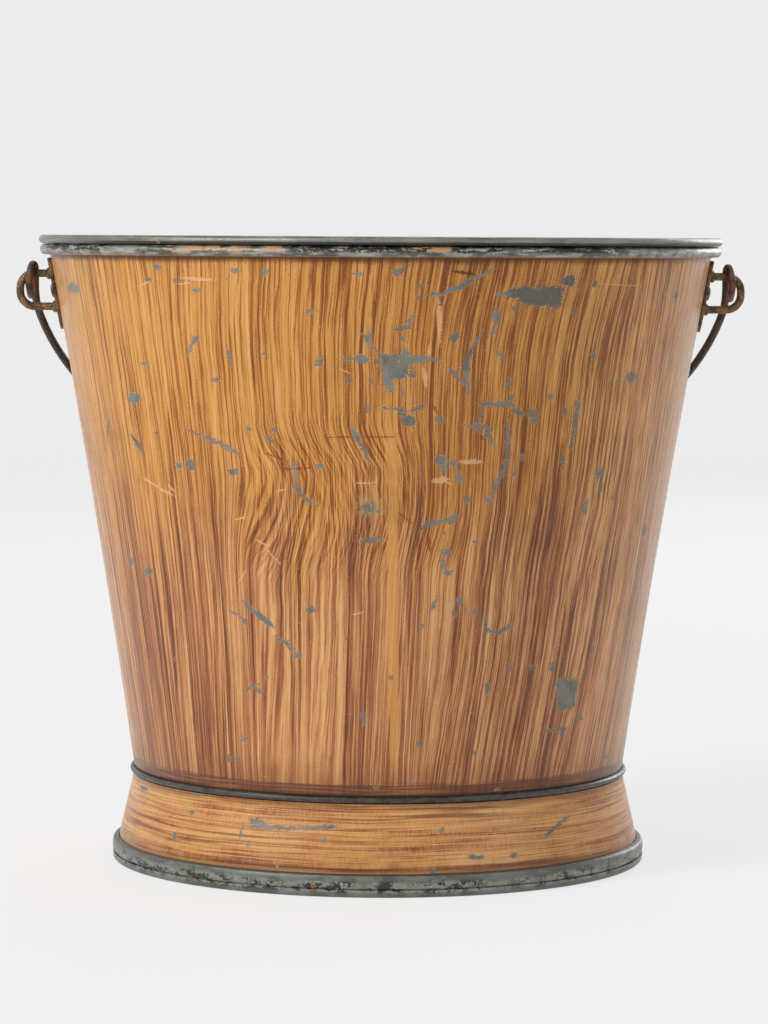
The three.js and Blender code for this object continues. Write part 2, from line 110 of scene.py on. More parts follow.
def onPail(x, y):  # the place on that map which a pixel of the photograph shows
    focal = cameraFit["lens"] / cameraFit["sensor"] * cameraFit["height"]
    across = (x - cameraFit["width"] / 2) / focal
    up = (cameraFit["height"] / 2 - y) / focal
    aim = cameraTurn.to_3x3() @ Vector((across, up, -1))
    place = Vector(cameraFit["place"])
    radius = arcRadius
    for _ in range(aimSteps):
        a = aim.x ** 2 + aim.y ** 2
        b = place.x * aim.x + place.y * aim.y
        c = place.x ** 2 + place.y ** 2 - radius ** 2
        reach = (-b - math.sqrt(max(b * b - a * c, 0))) / a
        spot = place + aim * reach
        radius = outsideRadius(spot.z / mm) * mm
    return math.atan2(spot.x, -spot.y) * arcRadius, spot.z


# Paint marks, each by its pixels in the photograph. A dot is (x, y, width, height), and a
# streak is (x, y, x, y, width) from one end to the other.
bareDots = [
    (74, 288, 12, 9), (157, 267, 6, 5), (235, 271, 9, 6), (265, 272, 8, 6), (149, 279, 6, 4),
    (176, 280, 9, 4), (196, 290, 8, 5), (311, 311, 9, 5), (358, 274, 9, 4), (397, 272, 11, 6),
    (195, 340, 8, 6), (144, 363, 9, 3), (216, 380, 9, 4), (134, 398, 13, 10), (157, 433, 4, 4),
    (179, 465, 7, 6), (191, 465, 10, 10), (233, 472, 13, 6), (249, 429, 5, 4), (274, 430, 7, 5),
    (270, 439, 8, 5), (319, 362, 8, 8), (350, 381, 6, 6), (264, 354, 4, 4),
    (391, 358, 22, 8), (390, 366, 20, 20), (405, 361, 9, 25), (398, 372, 22, 13),
    (388, 377, 12, 22), (390, 387, 7, 11), (412, 375, 9, 5), (377, 362, 6, 6),
    (362, 359, 17, 8), (350, 359, 18, 4), (368, 340, 5, 12), (368, 409, 5, 8),
    (409, 421, 15, 11), (402, 413, 7, 9), (371, 381, 4, 7), (294, 466, 6, 7), (320, 466, 6, 6),
    (366, 508, 11, 9), (379, 512, 5, 4),
    (439, 420, 9, 7), (441, 461, 13, 11), (444, 469, 6, 8), (454, 464, 7, 9), (459, 477, 6, 12),
    (478, 427, 14, 8), (505, 404, 14, 7), (533, 414, 11, 9), (534, 421, 8, 4), (518, 413, 5, 8),
    (530, 296, 24, 17), (541, 297, 26, 19), (552, 297, 21, 21), (517, 293, 20, 11),
    (508, 293, 9, 5), (557, 304, 7, 11), (560, 291, 8, 9), (540, 284, 4, 9), (526, 289, 14, 5),
    (570, 280, 12, 11), (565, 281, 9, 9), (500, 295, 9, 5), (515, 308, 6, 4), (420, 287, 7, 4),
    (418, 298, 5, 5),
    (402, 339, 7, 4), (455, 337, 9, 9), (495, 314, 5, 11), (503, 357, 6, 6), (574, 310, 4, 6),
    (595, 284, 5, 5), (676, 297, 3, 12), (593, 355, 5, 9), (631, 377, 10, 11), (619, 381, 5, 4),
    (550, 396, 6, 5), (565, 412, 5, 8), (578, 402, 5, 9), (576, 418, 5, 22), (573, 432, 3, 8),
    (571, 445, 5, 7), (562, 460, 4, 6), (599, 473, 8, 11), (601, 487, 3, 10), (585, 507, 6, 15),
    (613, 498, 4, 5), (466, 499, 7, 8), (487, 500, 4, 9), (451, 520, 12, 8), (432, 524, 12, 6),
    (447, 552, 8, 7), (476, 542, 5, 3), (644, 530, 4, 12), (514, 474, 4, 5), (522, 458, 5, 6),
    (444, 533, 3, 4), (495, 486, 5, 9), (505, 464, 5, 8), (509, 441, 3, 9), (486, 436, 5, 7),
    (508, 384, 4, 12), (512, 397, 5, 9), (493, 333, 4, 7), (498, 321, 4, 8),
    (148, 571, 10, 7), (131, 561, 4, 8), (311, 610, 11, 6), (286, 641, 5, 3), (298, 655, 8, 7),
    (259, 691, 8, 4), (267, 678, 4, 3), (175, 659, 3, 5), (244, 739, 8, 5), (229, 758, 4, 7),
    (238, 758, 5, 5), (391, 678, 6, 5), (363, 715, 6, 8), (364, 723, 4, 5), (347, 638, 3, 4),
    (445, 552, 9, 5), (443, 565, 5, 12), (447, 573, 9, 5), (459, 602, 5, 9), (454, 613, 6, 8),
    (421, 626, 6, 4), (475, 611, 4, 6), (486, 620, 3, 10), (562, 684, 12, 11), (572, 684, 12, 11),
    (562, 704, 9, 14), (570, 703, 10, 12), (567, 690, 21, 18), (567, 699, 17, 20),
    (556, 730, 21, 4), (562, 734, 5, 5), (581, 718, 4, 4), (511, 667, 4, 7),
    (531, 667, 4, 6), (552, 667, 5, 8), (593, 649, 3, 8), (420, 744, 5, 7), (410, 783, 4, 5),
    (376, 788, 5, 4), (497, 789, 5, 3), (605, 757, 10, 4), (487, 689, 4, 14), (475, 754, 3, 7),
    (255, 821, 12, 5), (248, 845, 4, 4), (192, 813, 5, 4), (175, 836, 3, 8), (197, 795, 5, 4),
    (144, 788, 8, 3), (476, 857, 16, 4), (514, 855, 8, 5), (434, 873, 5, 7), (442, 830, 5, 5),
    (324, 840, 6, 3), (277, 866, 4, 4), (241, 834, 3, 7),
]
bareStreaks = [
    (194, 342, 188, 354, 3), (229, 349, 231, 366, 3), (109, 417, 107, 440, 3),
    (132, 436, 141, 450, 5), (187, 430, 205, 436, 2), (203, 436, 221, 444, 4),
    (220, 444, 237, 453, 4), (341, 359, 356, 359, 3),
    (408, 361, 426, 358, 6), (426, 359, 439, 361, 3), (369, 331, 369, 349, 3),
    (402, 388, 405, 400, 2), (362, 334, 367, 338, 2), (374, 347, 380, 354, 2),
    (384, 408, 404, 410, 3), (411, 412, 423, 405, 3), (353, 430, 358, 440, 5),
    (357, 438, 370, 462, 3), (295, 466, 295, 486, 3), (296, 486, 303, 497, 4),
    (303, 497, 314, 503, 3), (361, 541, 383, 540, 4),
    (482, 404, 512, 404, 4), (512, 409, 524, 414, 4), (468, 426, 488, 427, 4),
    (507, 420, 508, 448, 3), (506, 446, 509, 458, 4), (506, 462, 505, 474, 4),
    (503, 470, 495, 489, 4), (494, 488, 491, 500, 3), (487, 428, 494, 446, 3),
    (493, 270, 470, 280, 3), (472, 280, 456, 290, 5), (456, 288, 445, 292, 4),
    (441, 294, 431, 294, 4), (396, 275, 406, 266, 3), (412, 315, 409, 326, 3),
    (397, 329, 410, 327, 4), (481, 332, 472, 350, 3), (472, 348, 467, 360, 4),
    (467, 358, 466, 374, 5), (466, 372, 469, 394, 3), (450, 370, 462, 382, 4),
    (499, 312, 494, 328, 4), (496, 352, 503, 356, 3), (579, 401, 574, 436, 3),
    (562, 456, 564, 463, 2), (421, 530, 428, 523, 3), (428, 523, 446, 521, 4),
    (446, 520, 458, 515, 4), (484, 404, 478, 425, 2),
    (244, 603, 256, 614, 4), (254, 612, 272, 625, 5), (230, 612, 240, 615, 2),
    (239, 616, 248, 626, 3), (277, 638, 286, 643, 4), (286, 641, 292, 652, 3),
    (430, 612, 436, 600, 3), (484, 630, 497, 633, 4), (497, 633, 511, 625, 4),
    (486, 617, 486, 630, 3), (245, 826, 300, 829, 3), (255, 820, 268, 826, 3),
    (300, 828, 336, 827, 3), (545, 836, 556, 826, 3), (556, 827, 568, 817, 3),
    (243, 824, 240, 838, 2), (245, 692, 262, 682, 2),
]
creamStreaks = [
    (182, 278, 214, 280, 3), (139, 286, 155, 279, 2), (143, 478, 160, 488, 2),
    (158, 488, 175, 496, 2), (168, 485, 175, 492, 2), (354, 483, 374, 483, 1.6),
    (438, 297, 440, 340, 4), (424, 368, 426, 386, 4), (433, 481, 447, 480, 5),
    (460, 462, 482, 462, 4), (442, 476, 450, 484, 3), (233, 520, 248, 517, 1.4),
    (256, 540, 268, 546, 1.4), (266, 549, 282, 566, 1.4), (352, 615, 364, 612, 1.4),
    (238, 583, 246, 570, 1.4), (340, 369, 352, 374, 1.4), (430, 345, 428, 360, 3),
    (276, 492, 286, 489, 1.2), (600, 284, 640, 286, 1), (177, 284, 190, 283, 1.6),
]
redStreaks = [
    (325, 437, 360, 437, 1.6), (360, 437, 398, 437, 1.4), (281, 469, 311, 468, 2),
    (428, 536, 430, 550, 4), (262, 452, 290, 462, 1.3), (398, 512, 412, 524, 1.5),
    (433, 404, 436, 412, 2), (480, 434, 484, 440, 2),
]
blackStreaks = [(452, 271, 474, 274, 3)]
smudge = (371, 507, 34, 28)

# Long soft strokes of the comb that stand out, light ones and dark ones
goldStroke = (386, 397, 425, 776)
paleStrokes = [
    (405, 590, 407, 772, 5), (154, 530, 185, 770, 4),
    (139, 404, 160, 562, 4), (164, 360, 167, 420, 5), (214, 345, 216, 465, 4),
    (239, 563, 242, 690, 5), (267, 585, 269, 730, 6), (287, 575, 290, 750, 4),
    (322, 554, 324, 775, 5), (343, 554, 339, 750, 4), (356, 585, 356, 705, 7),
    (218, 600, 222, 720, 3), (497, 548, 487, 640, 6), (514, 535, 503, 650, 5),
    (580, 540, 541, 710, 5), (634, 540, 582, 735, 4), (566, 300, 548, 400, 4),
    (600, 320, 585, 440, 3), (656, 350, 640, 500, 4), (440, 300, 440, 350, 6),
]
darkStrokes = [
    (300, 540, 299, 785, 4), (151, 540, 172, 715, 5), (347, 590, 347, 750, 3),
    (458, 550, 451, 705, 4), (489, 530, 472, 705, 5), (590, 540, 550, 720, 4),
    (168, 370, 191, 490, 7), (231, 318, 231, 395, 6), (325, 340, 326, 438, 4),
    (243, 465, 242, 535, 6), (612, 300, 596, 430, 6), (650, 330, 636, 470, 5),
    (560, 430, 548, 560, 5), (373, 270, 374, 340, 3), (420, 470, 418, 620, 4),
]
pixelsPerMm = 2.07  # in the photograph, at the front of the pail
streakFringe = 1.15  # how much wider a streak's mark is than the streak


def onMap(mark):  # middle, half sizes and turn of a mark on the pail's map, metres
    if len(mark) == 4:
        x, y, wide, tall = mark
        left, right = Vector(onPail(x - wide / 2, y)), Vector(onPail(x + wide / 2, y))
        low, high = Vector(onPail(x, y + tall / 2)), Vector(onPail(x, y - tall / 2))
        return (left + right) / 2, (right - left).length / 2, (high - low).length / 2, 0
    start, end = Vector(onPail(*mark[:2])), Vector(onPail(*mark[2:4]))
    run = end - start
    thick = mark[4] / 2 / pixelsPerMm * mm
    return (start + end) / 2, run.length / 2 + thick, thick * streakFringe, math.atan2(run.y, run.x)


def shade(red, green, blue):  # a colour as a screen shows it, made linear
    channels = [value / 255 for value in (red, green, blue)]
    return [v / 12.92 if v <= 0.04045 else ((v + 0.055) / 1.055) ** 2.4 for v in channels] + [1]


def shades(screens):
    return {name: shade(*screen) for name, screen in screens.items()}


class Flow:  # one socket of a material, so that shader maths reads as sums
    def __init__(self, paint, socket):
        self.paint = paint
        self.socket = socket

    def maths(self, operation, first, second=0.0):
        return self.paint.node("ShaderNodeMath", {"operation": operation}, {0: first, 1: second})

    def __abs__(self):
        return self.maths("ABSOLUTE", self)

    def least(self, other):
        return self.maths("MINIMUM", self, other)

    def most(self, other):
        return self.maths("MAXIMUM", self, other)

    def ramp(self, low, high):  # 0 below low and 1 above high, or the other way round
        ends = {"Value": self, "From Min": low, "From Max": high}
        if low > high:
            ends.update({"From Min": high, "From Max": low, "To Min": 1.0, "To Max": 0.0})
        return self.paint.node("ShaderNodeMapRange", {"interpolation_type": "SMOOTHSTEP"}, ends)

    def vector(self, operation, *others, output=0):
        inputs = dict(enumerate((self, *others)))
        return self.paint.node("ShaderNodeVectorMath", {"operation": operation}, inputs, output)

    def dot(self, weights):
        return self.vector("DOT_PRODUCT", weights, output="Value")

    def move(self, scale, shift):  # times scale plus shift, each a vector
        return self.vector("MULTIPLY_ADD", scale, shift)


def operator(operation, swapped=False):
    def apply(flow, other):
        return flow.maths(operation, *((other, flow) if swapped else (flow, other)))
    return apply


signs = {"add": "ADD", "sub": "SUBTRACT", "mul": "MULTIPLY", "truediv": "DIVIDE", "pow": "POWER"}
for sign, operation in signs.items():
    setattr(Flow, f"__{sign}__", operator(operation))
    setattr(Flow, f"__r{sign}__", operator(operation, True))


class Paint:  # the nodes of one material, or of the sky
    def __init__(self, owner):
        owner.use_nodes = True
        self.owner = owner
        self.tree = owner.node_tree
        self.tree.nodes.clear()
        self.place = self.node("ShaderNodeTexCoord", output="Object")
        split = self.node("ShaderNodeSeparateXYZ", inputs={0: self.place}).socket.node
        self.x, self.y, self.z = [Flow(self, socket) for socket in split.outputs]

    def node(self, kind, settings=None, inputs=None, output=0):
        made = self.tree.nodes.new(kind)
        for name, value in (settings or {}).items():
            setattr(made, name, value)
        for name, value in (inputs or {}).items():
            if isinstance(value, Flow):
                self.tree.links.new(value.socket, made.inputs[name])
            else:
                made.inputs[name].default_value = value
        return None if output is None else Flow(self, made.outputs[output])

    def flat(self, across, up, deep=0.0):
        return self.node("ShaderNodeCombineXYZ", inputs={0: across, 1: up, 2: deep})

    def noise(self, place, scale=1.0, detail=2.0, roughness=0.5, sort="3D", output=0):
        values = {"Vector": place, "Scale": scale, "Detail": detail, "Roughness": roughness}
        return self.node("ShaderNodeTexNoise", {"noise_dimensions": sort}, values, output)

    def grain(self, *settings):
        return self.noise(self.place, *settings)

    def lines(self, across, up, wide, tall, seed=None, detail=1, roughness=0.5):
        sort = "2D" if seed is None else "3D"
        place = self.flat(across * wide, up * tall, seed or 0.0)
        return self.noise(place, 1, detail, roughness, sort) - 0.5

    def mix(self, amount, first, second):
        settings = {"data_type": "RGBA", "clamp_factor": True}
        return self.node("ShaderNodeMix", settings, {0: amount, 6: first, 7: second}, output=2)

    def cover(self, colour, *layers):  # each layer an amount and a colour
        for amount, other in layers:
            colour = self.mix(amount, colour, other)
        return colour

    def spread(self, value, stops):  # a colour from a value, by the stops of a ramp
        made = self.node("ShaderNodeValToRGB", inputs={0: value})
        elements = made.socket.node.color_ramp.elements
        while len(elements) < len(stops):
            elements.new(1)
        for element, (place, *screen) in zip(elements, stops):
            element.position, element.color = place, shade(*screen)
        return made

    def marks(self, spot, marks):  # 0 in the middle of the nearest mark, 1 at its edge
        nearest = None
        for mark in marks:
            middle, wide, tall, turn = onMap(mark)
            if turn:
                along = Vector((math.cos(turn), math.sin(turn))) / wide
                beside = Vector((-math.sin(turn), math.cos(turn))) / tall
                length = spot.dot((along.x, along.y, -along.dot(middle)))
                breadth = spot.dot((beside.x, beside.y, -beside.dot(middle)))
                away = length * length + breadth * breadth
            else:
                size = (1 / wide, 1 / tall, 0)
                offset = spot.move(size, (-middle.x / wide, -middle.y / tall, 0))
                away = offset.dot(offset)
            nearest = nearest.least(away) if nearest else away
        return nearest ** 0.5

    def bump(self, height, distance, strength=1.0):
        inputs = {"Height": height, "Distance": distance, "Strength": strength}
        return self.node("ShaderNodeBump", inputs=inputs)

    def seen(self):  # 1 for a ray from the camera or off a glossy face
        camera, glossy = "Is Camera Ray", "Is Glossy Ray"
        kinds = [self.node("ShaderNodeLightPath", output=kind) for kind in (camera, glossy)]
        return kinds[0].most(kinds[1])

    def blend(self, amount, first, second):
        return self.node("ShaderNodeMixShader", inputs={0: amount, 1: first, 2: second})

    def finish(self, colour, roughness, metallic, normal, shine=0.5):
        inputs = {"Base Color": colour, "Roughness": roughness, "Metallic": metallic}
        inputs.update({"Normal": normal, "Specular IOR Level": shine})
        surface = self.node("ShaderNodeBsdfPrincipled", inputs=inputs)
        self.node("ShaderNodeOutputMaterial", inputs={"Surface": surface}, output=None)
        return self.owner


def newPaint(name):
    return Paint(bpy.data.materials.new(name))


seamTurn = math.radians(8 * 360 / 44)  # from the X axis
seamAzimuth = math.atan2(math.cos(seamTurn), -math.sin(seamTurn))  # from the front


def surroundMap(paint):  # arc from the front and height; the arc breaks at the wall's seam
    turn = math.radians(180) - seamAzimuth
    x, front = paint.x, -1 * paint.y
    across = x * math.cos(turn) + front * math.sin(turn)
    along = front * math.cos(turn) - x * math.sin(turn)
    angle = across.maths("ARCTAN2", across, along) - turn
    return angle * arcRadius, paint.z


# Combed paint: an ochre ground under brown glaze that a comb has drawn into lines
combing = shades({
    "deep": (96, 48, 20), "footLine": (104, 64, 34), "band": (98, 56, 40),
    "bandPale": (152, 98, 66), "gold": (222, 160, 88), "grime": (74, 44, 26),
    # The first colour of the next row makes the paint paler towards the right and also stands for a
    # painted sheen at the right edge.
    "fadeAndSheen": (204, 166, 134), "mossy": (182, 148, 64), "cream": (236, 184, 138),
    "scratch": (140, 52, 28), "scuff": (184, 154, 98), "black": (36, 26, 18),
})
# From the glaze's darkest line to its barest: a tone and its colour
glaze = {
    "upper": [
        (0.20, 128, 70, 26), (0.33, 160, 97, 42), (0.42, 186, 121, 57),
        (0.48, 205, 142, 71), (0.60, 214, 153, 81), (0.76, 230, 174, 107),
    ],
    "lower": [
        (0.20, 112, 62, 36), (0.34, 146, 88, 53), (0.45, 174, 113, 70),
        (0.54, 194, 133, 86), (0.64, 216, 157, 102), (0.80, 232, 178, 122),
    ],
    "foot": [
        (0.22, 132, 74, 40), (0.35, 168, 106, 62), (0.45, 196, 136, 82),
        (0.54, 210, 152, 92), (0.66, 220, 165, 104), (0.80, 230, 180, 122),
    ],
}
lineDepth = 0.06 * mm
# Noise for the comb's lines: how fine across and up, seed, detail and roughness
wallLines = {
    "sway": (14, 13, None, 2), "kink": (60, 90), "chatter": (70, 45, None, 1.5),
    "broad": (80, 3.4, 9), "band": (230, 4, 3), "comb": (460, 5, 1, 2, 0.9),
    "hair": (1900, 22, 5), "dash": (1050, 85, 7), "vein": (230, 3.5, 11),
    "tooth": (430, 5, 13), "stroke": (26, 1100, 3, 1.5),
}
footLines = {
    "sway": (12, 6, None, 2), "band": (5, 300, 2), "comb": (9, 620, 4, 2, 0.8),
    "hair": (34, 2100, 6), "vein": (3, 330, 8), "fades": (16, 500, 5), "cross": (900, 260, 9),
}
sway = {"wall": 1.5 * mm, "kink": 0.7 * mm, "chatter": 1.6 * mm, "foot": 1.6 * mm}
# Where the comb ran aside on its way down: left, right, top and bottom by pixel, and how far in mm
swings = [
    (255, 415, 424, 478, 8.3), (225, 325, 474, 578, -10), (345, 450, 505, 575, -7.5),
    (450, 620, 505, 590, -2.5), (430, 640, 222, 362, -6.5), (150, 430, 232, 352, -3.4),
    (430, 700, 590, 900, -11), (150, 430, 555, 860, -6),
]
swingEdge = 13 * mm
tangle = {"box": (250, 425, 435, 560), "level": 480, "edge": 14 * mm, "slant": 0.2, "middle": 0.19}
# Boxes where the tone is made darker, or lighter for an amount below zero: left, right, top and
# bottom by pixel, and how much
toneBoxes = [
    (405, 600, 250, 560, 0.065), (375, 425, 250, 370, 0.04), (430, 480, 270, 560, 0.045),
    (310, 365, 270, 780, 0.045), (125, 180, 590, 780, 0.07), (612, 660, 370, 560, -0.04),
    (550, 605, 580, 780, 0.06),
]
bareMetal = shades({
    "light": (130, 132, 126), "dark": (106, 109, 103), "edge": (104, 74, 44),
    "olive": (126, 116, 82), "tarnished": (82, 84, 78),
})
# Heights between which a tone or a mark comes, metres
levels = {
    "tarnished": (0.262, 0.268), "low": (0.205, 0.135), "mossy": (0.235, 0.280),
    "dirty": (0.268, 0.288), "underRim": (0.2855, 0.2885), "foothold": (0.064, 0.050),
    "waistBand": (0.0512, 0.0492), "waistLine": (0.0462, 0.0450), "footLow": (0.024, 0.013),
    "overHoop": (0.0155, 0.0115), "underWaist": (0.0375, 0.0405), "rimCrown": (0.2909, 0.2915),
    "rimFlake": (0.2912, 0.2917), "rimCrease": (0.2898, 0.2891), "lidCrest": (0.2972, 0.2979),
    "lidSide": (0.2960, 0.2954), "lidUnder": (0.2925, 0.2935), "hookRust": (0.262, 0.272),
}
# Paint that is off: noise scales, how far edges tear, and which marks keep a trace of paint
chips = {
    "tear": 4.6 * mm, "rough": 330, "crumb": 1300, "stray": 95, "fleck": 430, "left": 620,
    "cloud": 75,
    "slightDot": 120,  # pixels wide times pixels tall
    "slightStreak": 5,
    "behind": (0.17 ** 2, 0.24 ** 2),  # square of the arc where the back's stray chips begin
    "side": (0.050, 0.060),  # from the middle, where bare metal is tarnished near the rim
}
waistSeam = 0.044  # a mark above it is on the wall, one below it on the foot


def isSlight(mark):  # a small dot or a thin streak
    if len(mark) == 4:
        return mark[2] * mark[3] < chips["slightDot"]
    return mark[4] < chips["slightStreak"]


def chipped(paint, arc, height, drawn, roughness, relief, onWall):  # the paint, off in spots
    every = [*bareDots, *bareStreaks]
    marks = [mark for mark in every if (onPail(*mark[:2])[1] > waistSeam) == onWall]
    spot = paint.flat(arc, height, 1)
    rough = paint.noise(spot, chips["rough"], 4, 0.68, output=1)
    tear = chips["tear"]
    pull = rough.move((tear, tear * 0.9, 0), (-tear / 2, -tear * 0.45, 0))
    torn = spot.vector("ADD", pull)
    crumb = paint.noise(spot, chips["crumb"], 2, 0.65) - 0.5
    slight, broad = [[mark for mark in marks if isSlight(mark) == state] for state in (True, False)]
    small = paint.marks(torn, slight) + crumb
    worn = paint.marks(torn, broad) + crumb if broad else small
    stray = paint.noise(spot, chips["stray"], 4, 0.68) + crumb * 0.03
    fleck = paint.noise(spot, chips["fleck"], 1.5, 0.6)
    stray = (stray * (arc * arc).ramp(*chips["behind"])).most(fleck - 0.1)
    rim = worn.least(small).ramp(1.6, 1.0).most(stray.ramp(0.695, 0.72))
    left = paint.noise(spot, chips["left"], 3, 0.7)
    faint = small.ramp(1.12, 0.84) * (left.ramp(0.56, 0.42) * 0.35 + 0.65)
    gone = worn.ramp(1.06, 0.94).most(stray.ramp(0.715, 0.725))
    gone = (gone * (left.ramp(0.62, 0.52) * 0.26 + 0.74)).most(faint)
    cloud = paint.noise(spot, chips["cloud"], 3, 0.6)
    dull = (paint.z + crumb * 0.02).ramp(*levels["tarnished"]) * paint.x.ramp(*chips["side"])
    metal = paint.cover(
        bareMetal["light"],
        ((cloud + crumb * 0.5).ramp(0.38, 0.64), bareMetal["dark"]),
        (left.ramp(0.52, 0.62) * 0.4, bareMetal["olive"]),
        (dull * 0.65, bareMetal["tarnished"]),
    )
    edge = paint.mix(crumb.ramp(-0.05, 0.08), bareMetal["edge"], combing["cream"])
    colour = paint.cover(drawn, (rim * 0.35, edge), (gone, metal))
    normal = paint.bump(relief - gone * 0.8, lineDepth)
    return paint.finish(colour, roughness + gone * 0.2, gone * 0.25, normal, shine=0.3)


def specks(paint, drawn, dark, pale):  # fine dirt and fine pale specks
    speck = paint.grain(800, 2, 0.6)
    dirt = speck.ramp(0.67, 0.70) * dark
    fleck = speck.ramp(0.30, 0.275) * pale
    return paint.cover(drawn, (dirt, combing["grime"]), (fleck, combing["cream"]))


def window(value, low, high, edge):  # 1 between low and high, with soft edges
    return value.ramp(low - edge, low + edge) * value.ramp(high + edge, high - edge)


def beside(arc, left, right, level, edge):  # a window between two pixels of one row
    return window(arc, onPail(left, level)[0], onPail(right, level)[0], edge)


def onward(arc, start, end, level=400):  # from 0 at one pixel of a row to 1 at another
    return arc.ramp(onPail(start, level)[0], onPail(end, level)[0])


def within(arc, height, box, edge, upEdge=None, level=None):  # a soft box, set by pixels
    left, right, top, bottom = box
    low, high = onPail(middlePixel, bottom)[1], onPail(middlePixel, top)[1]
    across = beside(arc, left, right, level or top, edge)
    return across * window(height, low, high, upEdge or edge)


def scuff(paint, arc, height, fret):  # how strong the rub in the middle of the front is, its colour
    middle = onPail(*smudge[:2])
    aside, upward = arc - middle[0], height - middle[1]
    away = (aside * aside + upward * upward) ** 0.5 + 0.2 * mm
    rays = paint.noise(paint.flat(aside / away * 9, upward / away * 9, away * 160), 1, 2, 0.6) - 0.5
    blot = paint.marks(paint.flat(arc, height, 1), [smudge])
    rub = (blot + rays * 2.2 + fret * 0.8).ramp(1.1, 0.3)
    return rub, paint.mix(away.ramp(1.5 * mm, 4.5 * mm), bareMetal["light"], combing["scuff"])


def combedWall():
    paint = newPaint("combedWall")
    arc, height = surroundMap(paint)
    spot = paint.flat(arc, height, 1)
    across = arc
    for left, right, top, bottom, shift in swings:
        downward = height.ramp(onPail(middlePixel, top)[1], onPail(middlePixel, bottom)[1])
        across = across - beside(arc, left, right, top, swingEdge) * downward * (shift * mm)
    tangled = within(arc, height, tangle["box"], tangle["edge"], level=tangle["level"])
    across = across + paint.lines(arc, height, *wallLines["sway"]) * sway["wall"]
    across = across + paint.lines(arc, height, *wallLines["kink"]) * sway["kink"]
    across = across + paint.lines(arc, height, *wallLines["chatter"]) * tangled * sway["chatter"]

    names = ("broad", "band", "comb", "vein", "tooth")
    drifts = [paint.lines(across, height, *wallLines[name]) for name in names]
    broad, band, comb, vein, tooth = drifts
    hair = paint.lines(across + (arc - across) * tangled, height, *wallLines["hair"])
    slant = across + (height - tangle["middle"]) * tangled * tangle["slant"]
    dash = paint.lines(slant, height, *wallLines["dash"])
    grain = paint.noise(spot, 1300, 1, 0.5) - 0.5
    mottle = paint.grain(60, 4, 0.6)
    low = (height + broad * 0.09).ramp(*levels["low"])
    rightward, shady = onward(arc, 410, 500), onward(arc, 520, 650)

    tone = broad * (low * 0.16 + 0.06) + band * (low * 0.3 + 0.1)
    tone = tone + comb * (low * 0.3 - tangled * 0.1 + 0.8)
    tone = tone + hair * (tangled * 0.2 + rightward * 0.3 + 0.54)
    tone = tone + dash * (tangled * 0.45 + rightward * 0.14 + 0.2)
    tone = tone + grain * 0.16 - abs(tooth).ramp(0.07, 0.015) * 0.13
    tone = tone * (shady * (0.9 - low * 0.45) + 1) - tangled * 0.03 - low * 0.012 + 0.568
    for *box, amount in toneBoxes:
        tone = tone - within(arc, height, box, swingEdge) * amount
    fray = comb * 1.6 + hair * 0.9
    for strokes, amount in ((paleStrokes, 0.15), (darkStrokes, -0.13)):
        tone = tone + (paint.marks(spot, strokes) + fray).ramp(1.1, 0.55) * amount
    tone = tone - abs(vein).ramp(0.028, 0.012) * (0.16 - low * 0.07)

    leaning = arc + (height - onPail(*goldStroke[::2])[1]) * 0.02 + fray * 2 * mm
    gold = within(leaning, height, goldStroke, 0.5 * mm, 12 * mm)
    # Paler paint towards the right side; in the last strip before the right edge it is a painted
    # sheen, the coat catching the light.
    fadeAndSheen = shady * 0.14 + onward(arc, 640, 692) * 0.3
    mossy = onward(arc, 190, 90, 300) * height.ramp(*levels["mossy"])
    drawn = paint.cover(
        paint.spread(tone, glaze["upper"]),
        (low, paint.spread(tone, glaze["lower"])),
        (gold * 0.75, combing["gold"]),
        (fadeAndSheen, combing["fadeAndSheen"]),
        (mossy * mottle.ramp(0.4, 0.6) * 0.3, combing["mossy"]),
        (mottle.ramp(0.52, 0.75) * 0.16, combing["deep"]),
    )
    drawn = specks(paint, drawn, height.ramp(*levels["dirty"]) * 0.5 + 0.25, 0.45)

    underRim = (height + (mottle - 0.5) * 4 * mm).ramp(*levels["underRim"])
    foothold = (height + (mottle - 0.5) * 9 * mm).ramp(*levels["foothold"])
    stroke = paint.lines(arc, height, *wallLines["stroke"])
    bandColour = paint.mix(stroke.ramp(-0.04, 0.18), combing["band"], combing["bandPale"])
    fret = paint.noise(spot, 900, 2, 0.6) - 0.5
    jittered = paint.flat(arc + fret * 1.8 * mm, height + fret * 1.6 * mm, 1)
    black = (paint.marks(jittered, blackStreaks) + fret).ramp(1.1, 0.7)
    cream = (paint.marks(jittered, creamStreaks) + fret * 2).ramp(1.15, 0.6)
    red = (paint.marks(jittered, redStreaks) + fret * 1.5).ramp(1.2, 0.7)
    rub, scuffed = scuff(paint, arc, height, fret)
    drawn = paint.cover(
        drawn,
        ((underRim * 0.8).most(foothold * 0.3), combing["deep"]),
        ((height + stroke * 3 * mm).ramp(*levels["waistBand"]) * 0.85, bandColour),
        (height.ramp(*levels["waistLine"]) * 0.8, combing["black"]),
        (black * 0.75, combing["black"]),
        (cream * 0.7, combing["cream"]),
        (red * 0.7, combing["scratch"]),
        (rub * 0.7, scuffed),
    )

    roughness = 0.29 + comb * 0.25 + (mottle - 0.5) * 0.2
    relief = comb * -1.1 + hair * -0.4 + paint.grain(17, 1) * 9
    return chipped(paint, arc, height, drawn, roughness, relief, True)


